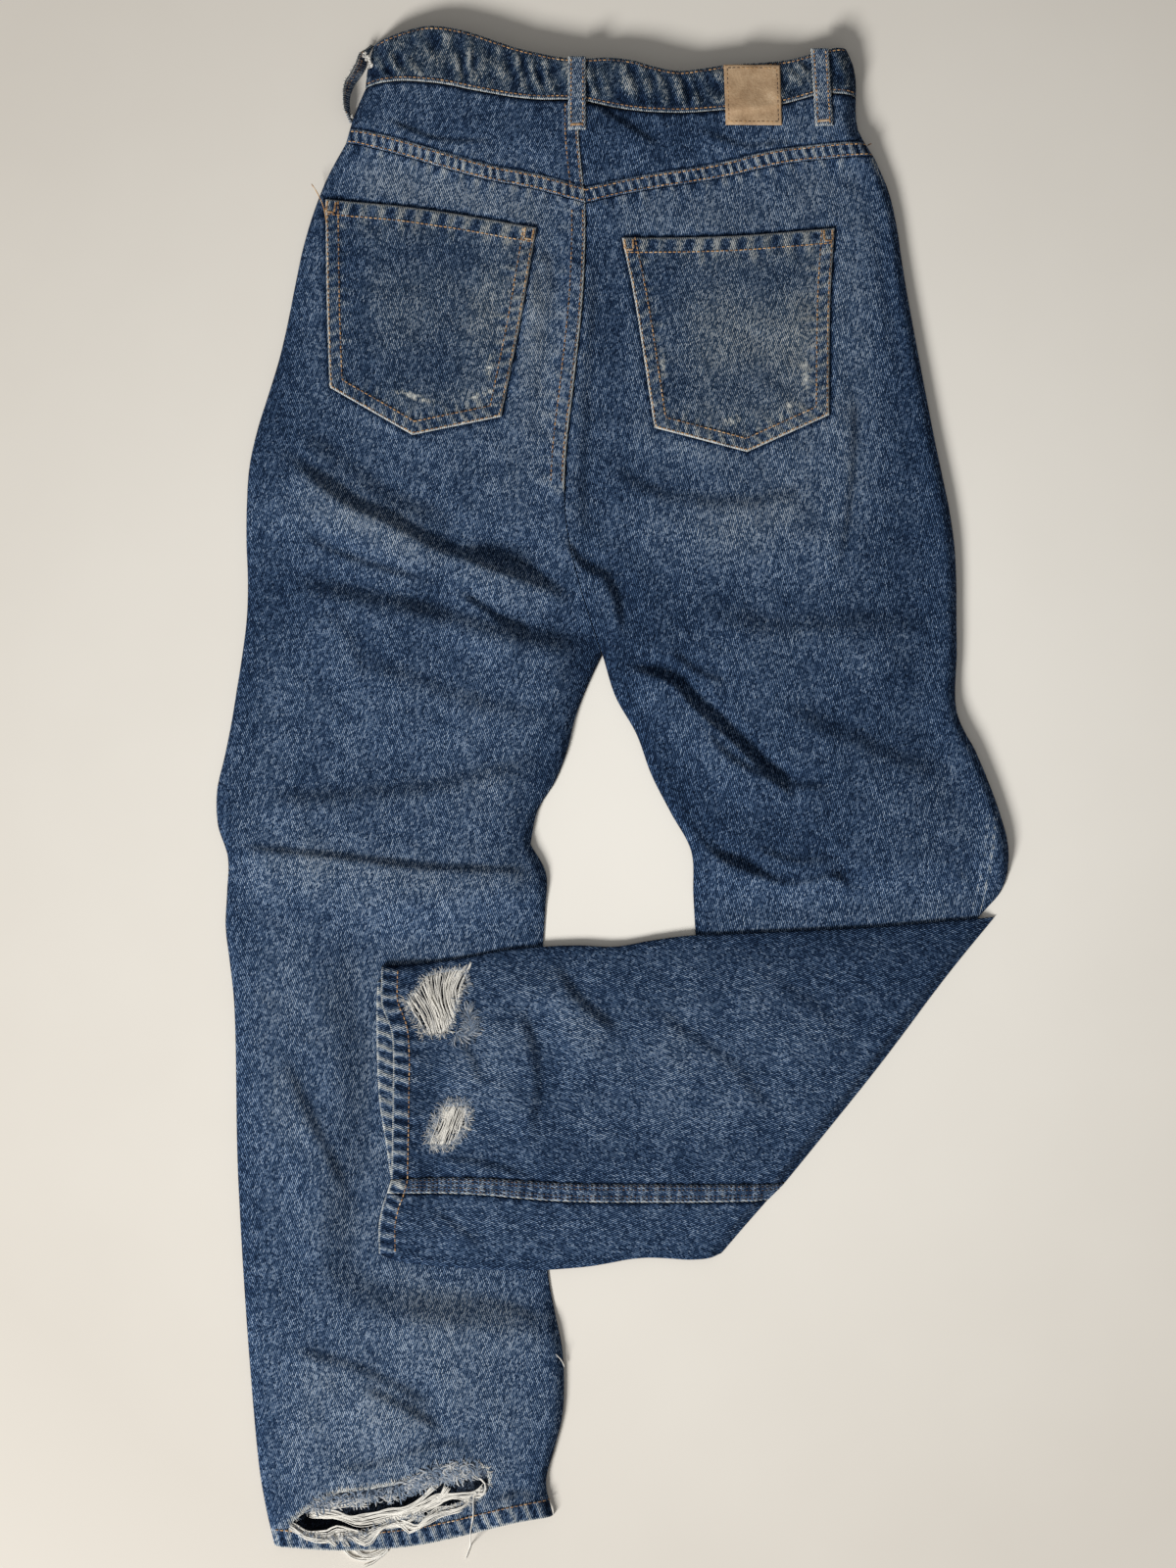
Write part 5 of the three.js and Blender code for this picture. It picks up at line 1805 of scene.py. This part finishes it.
# %% Rows on the pockets
for node, top in pocket_tops.items():
    top_line, rest = pocket_edges[node]
    sewn("pockets", rest, (1.3, 9.0), rest.mean(0), top, (1.0,))
    sewn("pockets", top_line, [10.4], rest.mean(0), top, (2.0,), tone=0.12)
    across = top_line[-1] - top_line[0]
    for corner, side in ((top_line[0], 1), (top_line[-1], -1)):
        along_top = across / np.hypot(*across) * side
        inward = np.array([along_top[1], -along_top[0]]) * side
        for step in (1.6, 7.6):
            bartack("pockets", corner + along_top * step + inward * 4.6, inward, top, 7.0, 1.6)
        bartack("pockets", corner + along_top * 4.6 + inward * 8.8, along_top, top, 6.0, 1.4)
gather("topstitching_pockets", "pockets", "thread", thread)

# %% Rows on the hems and the inseam
hem_row = toward(left_hem, 12.0, places((-140, -400))[0])
hem_tears = tears["back_left_leg"]
torn_away = np.any([inside(ring, *hem_row.T) for ring in hem_tears], axis=0)
torn_away |= distance([closed(ring) for ring in hem_tears], *hem_row.T, 40) < 2
changes = np.diff(np.concatenate([[0], (~torn_away).astype(int), [0]]))
for start, stop in zip(np.flatnonzero(changes == 1), np.flatnonzero(changes == -1)):
    if stop - start > 3:
        stitch_row("hems", hem_row[start:stop], left_top, tone=0.0)


def folded_surface(x, y):
    """Upper face of whichever folded piece is there."""
    result = fold_top(x, y) + added([hem_band], x, y)[0]
    ring = np.concatenate([inseam_high, inseam_low[::-1]])
    return result + np.where(inside(ring, x, y), 1.0, 0.0)


sewn("hems", fold_hem, [11.5], places((-100, -230))[0], folded_surface, (2.0,), tone=-0.02)
inseam_middle = (inseam_low.mean(0) + inseam_high.mean(0)) / 2
inseam_look = {"tone": -0.62, "length": 2.0, "pitch": 2.8, "width": 0.42}
for line, insets in ((inseam_low, (1.9, 4.3)), (inseam_high, (1.5, 3.9))):
    sewn("hems", line, insets, inseam_middle, fold_tops["folded_inseam"], (14.0, 3.0), **inseam_look)
gather("topstitching_hems", "hems", "thread", thread)

# %% [markdown]
# ## Torn yarns
# When denim tears, the blue warp breaks and the white weft yarns stay and hang across the
# hole. Hair particles could grow them, but these cross from edge to edge. So a few guide
# lines are given across each tear. A comb of yarns fills the space between them,
# each with its own wander, and short broken ends stand along the torn edge.

# %% Tubes along lines
tube_sets = {}


def tube(group, top, flat, lift, radius, wear, sides=5):
    """Adds a tube to a group. It follows the surface `top`, raised by `lift`."""
    tube_sets.setdefault(group, []).append((top, flat, lift, radius, wear, sides))


def tube_walls(spots, radius, sides):
    """Corner points and faces of a tube through points in space. It narrows at both ends."""
    count = len(spots)
    heading = np.gradient(spots, axis=0)
    heading /= np.linalg.norm(heading, axis=1)[:, None] + 1e-9
    across = np.stack([-heading[:, 1], heading[:, 0], np.zeros(count)], -1)
    across /= np.linalg.norm(across, axis=1)[:, None] + 1e-9
    up = np.cross(heading, across)
    angles = np.arange(sides) * TAU / sides
    size = np.full(count, float(radius))
    size[[0, -1]] *= 0.4
    ring = across[:, None] * np.cos(angles)[None, :, None] + up[:, None] * np.sin(angles)[None, :, None]
    points = (spots[:, None] + ring * size[:, None, None]).reshape(-1, 3)
    number = np.arange(count * sides).reshape(count, sides)
    turned = np.roll(number, -1, axis=1)
    faces = np.stack([number[:-1], turned[:-1], turned[1:], number[1:]], -1).reshape(-1, 4)
    return points, faces


def tubes_made(name, group, *nodes, finish=yarn, slot="yarn"):
    """Turns the tubes of a group into one object."""
    points = []
    faces = []
    wear = []
    start = 0
    for (_, flat, lift, radius, value, sides), z in zip(tube_sets[group], heights(tube_sets[group])):
        spots, quads = tube_walls(np.concatenate([flat, (z + lift)[:, None]], 1), radius, sides)
        points.append(spots)
        faces.append(quads + start)
        wear.append(np.full(len(spots), float(value)))
        start += len(spots)
    points, faces, wear = (np.concatenate(part) for part in (points, faces, wear))
    return register(make_mesh(name, points, faces, [finish], wear=wear), slot, *nodes)


YARN = 0.33
UNBROKEN = 0.75


def comb(group, guides, count, top, seed, radius=YARN, spread=0.7, lift=0.4, sag=0.8):
    """Yarns side by side between guide lines. Some are broken and end in the hole."""
    chance = np.random.default_rng(seed)
    steps = 15
    paths = [smooth_line(places(*guide), 2.0, sharp=120) for guide in guides]
    paths = np.stack([evenly(path, steps) for path in paths])
    t = np.linspace(0, 1, steps)
    for i in range(count):
        place = np.clip((i + chance.uniform(-0.8, 0.8)) / (count - 1), 0, 1) * (len(paths) - 1)
        low = min(int(place), len(paths) - 2)
        flat = paths[low] * (1 - place + low) + paths[low + 1] * (place - low)
        phase = chance.uniform(0, 50, 2)
        wander = np.stack([ruffle(t * 3.0, t * 0 + phase[k], 1.0, seed + k) for k in range(2)], -1)
        flat = flat + wander * spread + chance.normal(0, 0.25, 2)
        rise = 0.15 + (chance.uniform(0, lift) - sag * chance.uniform(0, 1)) * np.sin(math.pi * t)
        first = 0
        last = steps
        if chance.uniform() > UNBROKEN:
            last = chance.integers(5, 11)
            if chance.uniform() > 0.5:
                first = steps - last
                last = steps
        size = radius * chance.uniform(0.8, 1.25)
        tube(group, top, flat[first:last], rise[first:last], size, 0.86 + chance.uniform(-0.2, 0.14))


def fray(group, line, count, top, seed, length=(2.0, 6.0), lean=0.0, wear=(0.15, 0.9), radius=0.14, curl=0.5):
    """Short broken ends that start at a line and stand out to its left."""
    chance = np.random.default_rng(seed)
    whole = arc(line)[-1]
    for _ in range(count):
        place = chance.uniform(0.5, whole - 0.5)
        root = at_length(line, np.array([place - 0.5, place, place + 0.5]))
        heading = root[2] - root[0]
        heading = math.atan2(heading[1], heading[0]) + math.pi / 2 + lean + chance.normal(0, 0.55)
        long = chance.uniform(*length)
        steps = 6
        turn = chance.normal(0, curl) / steps
        spots = [root[1]]
        for _ in range(steps):
            spots.append(spots[-1] + long / steps * np.array([math.cos(heading), math.sin(heading)]))
            heading += turn + chance.normal(0, 0.12)
        rise = 0.1 + chance.uniform(0, 0.7) * np.linspace(0, 1, len(spots))
        tube(group, top, np.array(spots), rise, radius * chance.uniform(0.7, 1.4), chance.uniform(*wear), 4)


test_tube, _ = tube_walls(np.linspace((0, 0, 0), (9, 0, 0), 10), 0.3, 5)
print("a yarn with 10 rings has", len(test_tube), "points")

# %% Tears in the folded leg
front_top = fold_tops["folded_front_panel"]
fold_tears = sorted(tears["folded_front_panel"], key=lambda ring: -ring[:, 1].mean())
upper_guides = [
    [(-146, -150), (-142, -158), (-137, -166), (-132, -174)],
    [(-140, -143), (-134, -152), (-129, -162), (-126, -174)],
    [(-133, -133), (-129, -146), (-124, -160), (-120, -173)],
    [(-124, -130), (-124, -142), (-120, -157), (-117, -171)],
    [(-113, -128), (-118, -140), (-118, -152), (-113, -165)],
    [(-105, -126), (-111, -136), (-114, -146), (-111, -157)],
    [(-100, -123), (-104, -132), (-108, -142), (-109, -151)],
]
comb("upper", upper_guides, 54, front_top, 401)
comb("upper", upper_guides[:5], 14, front_top, 402, radius=0.26, spread=2.2, lift=1.6, sag=0.2)
upper_ring = closed(fold_tears[0])
fray("upper", upper_ring[::-1], 150, front_top, 403, (1.5, 4.5), wear=(0.35, 0.95))
fray("upper", upper_ring, 330, front_top, 404, (1.5, 5.5), wear=(0.2, 0.75), radius=0.22)
flap = smooth_line(places((-104, -158), (-101, -168), (-104, -176), (-112, -174)), 1.0, 90)
fray("upper", flap, 110, front_top, 405, (4.0, 11.0), lean=0.7, wear=(0.15, 0.55), radius=0.34)
fray("upper", flap[::-1], 80, front_top, 407, (3.0, 8.0), lean=-0.4, wear=(0.1, 0.5), radius=0.34)
fuzz = smooth_line(places((-134, -176), (-143, -160), (-149, -146)), 1.0, 90)
fray("upper", fuzz, 50, front_top, 406, (2.0, 5.0), wear=(0.5, 0.95))
tubes_made("yarns_upper_tear", "upper", "rip_yarns_upper")

lower_guides = [
    [(-120, -225), (-124, -236), (-130, -252)],
    [(-112, -225), (-116, -237), (-122, -253)],
    [(-103, -226), (-107, -237), (-112, -252)],
]
comb("lower", lower_guides, 30, front_top, 411, spread=0.9)
comb("lower", lower_guides, 8, front_top, 412, radius=0.24, spread=2.0, lift=1.4)
lower_ring = closed(fold_tears[1])
fray("lower", lower_ring[::-1], 90, front_top, 413, (1.5, 4.0), wear=(0.3, 0.95))
fray("lower", lower_ring, 420, front_top, 414, (3.0, 8.5), wear=(0.2, 0.7), radius=0.24, curl=1.2)
tubes_made("yarns_lower_tear", "lower", "rip_yarns_lower")

# %% Tear at the left hem
hem_ring = max(tears["back_left_leg"], key=lambda ring: arc(ring)[-1])
hem_closed = closed(hem_ring)
hem_low = places((0, -538))[0][1]
YARN_ON_CLOTH = 1.2
YARN_IN_HOLE = -0.4
YARN_ON_TABLE = 0.9


def loose_height(x, y):
    """Height of loose yarns: on the cloth, in the hole, or on the table past the hem."""
    above = np.where(inside(hem_ring, x, y), YARN_IN_HOLE, YARN_ON_CLOTH)
    return np.where(y > hem_low, lay_top(x, y) + above, YARN_ON_TABLE)


def strand(group, guide, count, seed, radius, spread):
    """A bundle of yarns that wander about one line."""
    chance = np.random.default_rng(seed)
    path = smooth_line(places(*guide), 2.0, sharp=120)
    steps = max(8, int(arc(path)[-1] / 3.2))
    path = evenly(path, steps)
    t = np.linspace(0, 1, steps) * steps / 5
    normals = leftward(np.gradient(path, axis=0))
    pinch = (0.9 + 0.8 * ruffle(t, t * 0 + 3.3, 1.0, seed))[:, None]
    for i in range(count):
        phase = chance.uniform(0, 50, 3)
        wander = np.stack([ruffle(t, t * 0 + phase[k], 1.0, seed + 5 * i + k) for k in range(3)], -1)
        place = 2 * (i + 0.5) / count - 1 + chance.uniform(-0.6, 0.6) / count
        flat = path + normals * pinch * place * spread + wander[:, :2] * 0.35 * spread
        size = radius * chance.uniform(0.75, 1.2)
        white = 0.88 + chance.uniform(-0.18, 0.12)
        tube(group, loose_height, flat, 0.8 * np.abs(wander[:, 2]), size, white)


HEM_STRANDS = [
    # yarns, seed, spread, points along the bundle
    (7, 421, 2.2, (-212, -513), (-200, -514), (-183, -518), (-167, -515), (-151, -513), (-141, -509),
     (-132, -501), (-123, -493)),
    (9, 422, 2.8, (-215, -515), (-206, -517), (-191, -518), (-179, -521), (-161, -518), (-145, -515),
     (-132, -509), (-121, -502), (-117, -496)),
    (4, 423, 1.4, (-201, -511), (-188, -509), (-173, -509)),
    (15, 424, 3.6, (-229, -524), (-218, -530), (-202, -531), (-195, -527), (-183, -530), (-176, -533),
     (-167, -527), (-155, -520), (-142, -514), (-130, -508), (-115, -503), (-100, -502), (-91, -498)),
    (9, 425, 2.6, (-161, -524), (-153, -522), (-147, -522), (-139, -524), (-132, -518), (-123, -512),
     (-115, -511), (-106, -508), (-100, -503), (-92, -501)),
    (6, 426, 2.0, (-155, -520), (-148, -524), (-144, -528), (-136, -523), (-126, -517), (-115, -514),
     (-107, -511)),
    (6, 427, 1.6, (-100, -488), (-92, -492), (-90, -497), (-92, -502), (-98, -504)),
]
for count, seed, spread, *guide in HEM_STRANDS:
    strand("hem", guide, count, seed, YARN, spread)

top_edge = smooth_line(places((-215, -511), (-194, -504), (-173, -503), (-151, -499), (-139, -493),
                              (-121, -488), (-106, -486), (-95, -482)), 1.0, 90)
tufts = smooth_line(places((-147, -497), (-136, -492), (-124, -487), (-112, -486), (-101, -486)), 1.0, 90)
low_edge = smooth_line(places((-222, -533), (-203, -535), (-180, -532), (-158, -524), (-130, -517),
                              (-108, -512), (-92, -503)), 1.0, 90)
for line, count, seed, length, white, radius, curl in (
    (hem_closed, 330, 431, (1.5, 5.5), (0.35, 0.95), 0.14, 0.5),
    (hem_closed[::-1], 160, 432, (1.0, 4.0), (0.25, 0.8), 0.14, 0.5),
    (top_edge, 110, 433, (3.0, 8.0), (0.18, 0.5), 0.5, 3.4),
    (top_edge[::-1], 260, 434, (4.0, 10.0), (0.2, 0.62), 0.42, 1.6),
    (tufts, 130, 435, (6.0, 14.0), (0.15, 0.6), 0.6, 6.0),
    (tufts[::-1], 80, 436, (5.0, 11.0), (0.2, 0.6), 0.5, 3.0),
    (low_edge, 260, 437, (2.5, 7.0), (0.25, 0.8), 0.22, 1.0),
):
    fray("hem", line, count, left_top, seed, length, wear=white, radius=radius, curl=curl)
tubes_made("yarns_hem_tear", "hem", "rip_yarns_hem")

TAILS = [
    # yarns, seed, spread, radius, points along the bundle
    (4, 441, 1.6, 0.38, (-202, -533), (-194, -540), (-186, -548), (-176, -550), (-167, -548),
     (-159, -542), (-165, -540), (-173, -544)),
    (4, 442, 1.5, YARN, (-191, -534), (-185, -541), (-176, -547), (-165, -544), (-161, -541)),
    (3, 443, 1.2, YARN, (-189, -535), (-183, -544), (-173, -549), (-162, -545), (-170, -552), (-178, -555)),
    (2, 445, 0.3, 0.25, (-40, -402), (-36, -407), (-34, -412)),
    (2, 444, 0.3, YARN, (-92, -494), (-98, -502), (-99, -517), (-101, -529), (-101, -538), (-105, -550)),
]
for count, seed, spread, radius, *guide in TAILS:
    strand("tails", guide, count, seed, radius, spread)
tubes_made("yarns_hem_tails", "tails", "hem_threads")

loose_end = smooth_line(places((-214, 431), (-209, 423), (-205, 413), (-203, 402)), 1.5)
tube("pocket", lambda x, y: lay_top(x, y) + 1.6, loose_end, 0.3, 0.42, 0.3)
tubes_made("thread_pocket_left", "pocket", finish=thread, slot="thread")

loop_kink = places((-179.5, 525), (-176, 522.5), (-172.5, 517), (-172, 513))
loop_rim = trimmed(bowed_row(1.02), 12.0, 6.0)
loop_foot = places((-188, 483), (-186, 478))
for line, count, top, seed, length, white, radius in (
    (loop_kink, 60, level(8.5), 451, (1.0, 2.6), (0.7, 1.0), 0.24),
    (loop_kink[::-1], 50, level(8.5), 452, (0.8, 2.2), (0.6, 1.0), 0.24),
    (loop_rim[::-1], 90, bowed_height, 453, (0.5, 1.6), (0.5, 0.95), 0.16),
    (loop_foot, 16, level(4.0), 454, (1.0, 2.5), (0.7, 1.0), 0.14),
):
    fray("loop", line, count, top, seed, length, wear=white, radius=radius)
tubes_made("yarns_belt_loop", "loop")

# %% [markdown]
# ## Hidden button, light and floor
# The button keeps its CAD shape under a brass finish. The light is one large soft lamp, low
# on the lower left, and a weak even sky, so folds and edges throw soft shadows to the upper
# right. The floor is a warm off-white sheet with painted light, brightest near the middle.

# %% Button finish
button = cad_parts["waist_button"]
button.data.materials.clear()
button.data.materials.append(brass)
print("button finish:", button.data.materials[0].name)

# %% Light
LAMP_AT = (-2.6, -2.95, 2.45)
LAMP_SIZE = 1.4
LAMP_WATTS = 272.0
SKY = 0.25
lamp_data = bpy.data.lights.new("lamp", "AREA")
lamp_data.shape = "DISK"
lamp_data.size = LAMP_SIZE
lamp_data.energy = LAMP_WATTS
lamp_data.color = (1.0, 0.985, 0.96)
lamp = bpy.data.objects.new("lamp", lamp_data)
lamp.location = LAMP_AT
lamp_reach = math.hypot(LAMP_AT[0], LAMP_AT[1])
lamp.rotation_euler = (math.atan2(lamp_reach, LAMP_AT[2]), 0, math.atan2(LAMP_AT[0], -LAMP_AT[1]))
bpy.context.scene.collection.objects.link(lamp)
world = bpy.data.worlds.new("sky")
world.use_nodes = True
sky = world.node_tree.nodes["Background"]
sky.inputs["Color"].default_value = (1.0, 0.99, 0.98, 1.0)
sky.inputs["Strength"].default_value = SKY
bpy.context.scene.world = world
print("the lamp stands", round(math.degrees(math.atan2(LAMP_AT[2], lamp_reach))), "degrees up")

# %% Floor
FLOOR_REACH = 2600.0
FLOOR_CORNERS = ((-1, -1, 0), (1, -1, 0), (1, 1, 0), (-1, 1, 0))


def floor_finish():
    finish = Finish("floor")
    where = finish.where()
    faint = finish.noise(where, 9.0, 3.0)
    vector = "ShaderNodeVectorMath"
    # A painted pool of light: the floor is brighter near a point beside the middle and darker further out.
    from_middle = finish.node(vector, {"operation": "SUBTRACT"}, {0: where, 1: (0.08, 0.08, 0.0)})
    far = finish.node(vector, {"operation": "LENGTH"}, {0: from_middle}, out=1)
    stops = [(0.28, (0.690, 0.650, 0.588)), (0.72, (0.940, 0.910, 0.845))]
    colour = finish.ramp(stops, 0.75 * (1.0 - far) + 0.08 * faint)
    return finish.finish({"Base Color": colour, "Roughness": 0.75, "Specular IOR Level": 0.2})


floor_points = FLOOR_REACH * np.array(FLOOR_CORNERS, float)
floor = make_mesh("floor", floor_points, np.array([[0, 1, 2, 3]]), [floor_finish()])
print("floor", 2 * FLOOR_REACH * MM, "m wide")

# %% [markdown]
# ## What each cloth piece is
# Each panel is listed with what it rests on and what is sewn or caught on it, and the size
# it was cut to is measured from its cut edges.

# %% Sheets
CUT_OF = {
    "back_left": "back_left_leg",
    "back_right": "back_right_leg",
    "waistband": "waistband_back",
    "folded_layer_1": "folded_hidden_layers",
    "folded_layer_2": "folded_hidden_layers",
}
SHEETS = [
    # piece, what it rests on, what is sewn or caught on it
    ("front_left_leg", floor),
    ("front_right_leg", floor),
    ("waistband_front", floor),
    ("belt_loop_front_left", floor),
    ("belt_loop_front_right", floor),
    ("fly_facing", floor),
    ("back_left", "denim_front_left_leg", "topstitching_centre", "yarns_hem_tear", "yarns_hem_tails"),
    ("back_right", "denim_front_right_leg"),
    ("yoke_left", "denim_front_left_leg", "topstitching_yokes"),
    ("yoke_right", "denim_front_right_leg"),
    ("waistband", "denim_waistband_front", "topstitching_waistband", "leather_patch", "topstitching_patch"),
    ("pocket_left", "denim_back_left", "topstitching_pockets"),
    ("pocket_right", "denim_back_right"),
    ("belt_loop_centre", "denim_waistband", "topstitching_loops"),
    ("belt_loop_right_back", "denim_waistband"),
    ("folded_front_panel", "denim_folded_layer_1", "topstitching_hems",
     "yarns_upper_tear", "yarns_lower_tear"),
    ("folded_inseam", "denim_folded_layer_1"),
    ("folded_back_strip", "denim_folded_layer_1"),
    ("folded_far_hem", "denim_back_left"),
    ("folded_layer_1", "denim_folded_layer_2"),
    ("folded_layer_2", "denim_back_left"),
]
for name, rests_on, *on_it in SHEETS:
    node = CUT_OF.get(name, name)
    outline = np.concatenate(list(cut[node].values()))
    width, length = (outline.max(0) - outline.min(0)) * MM
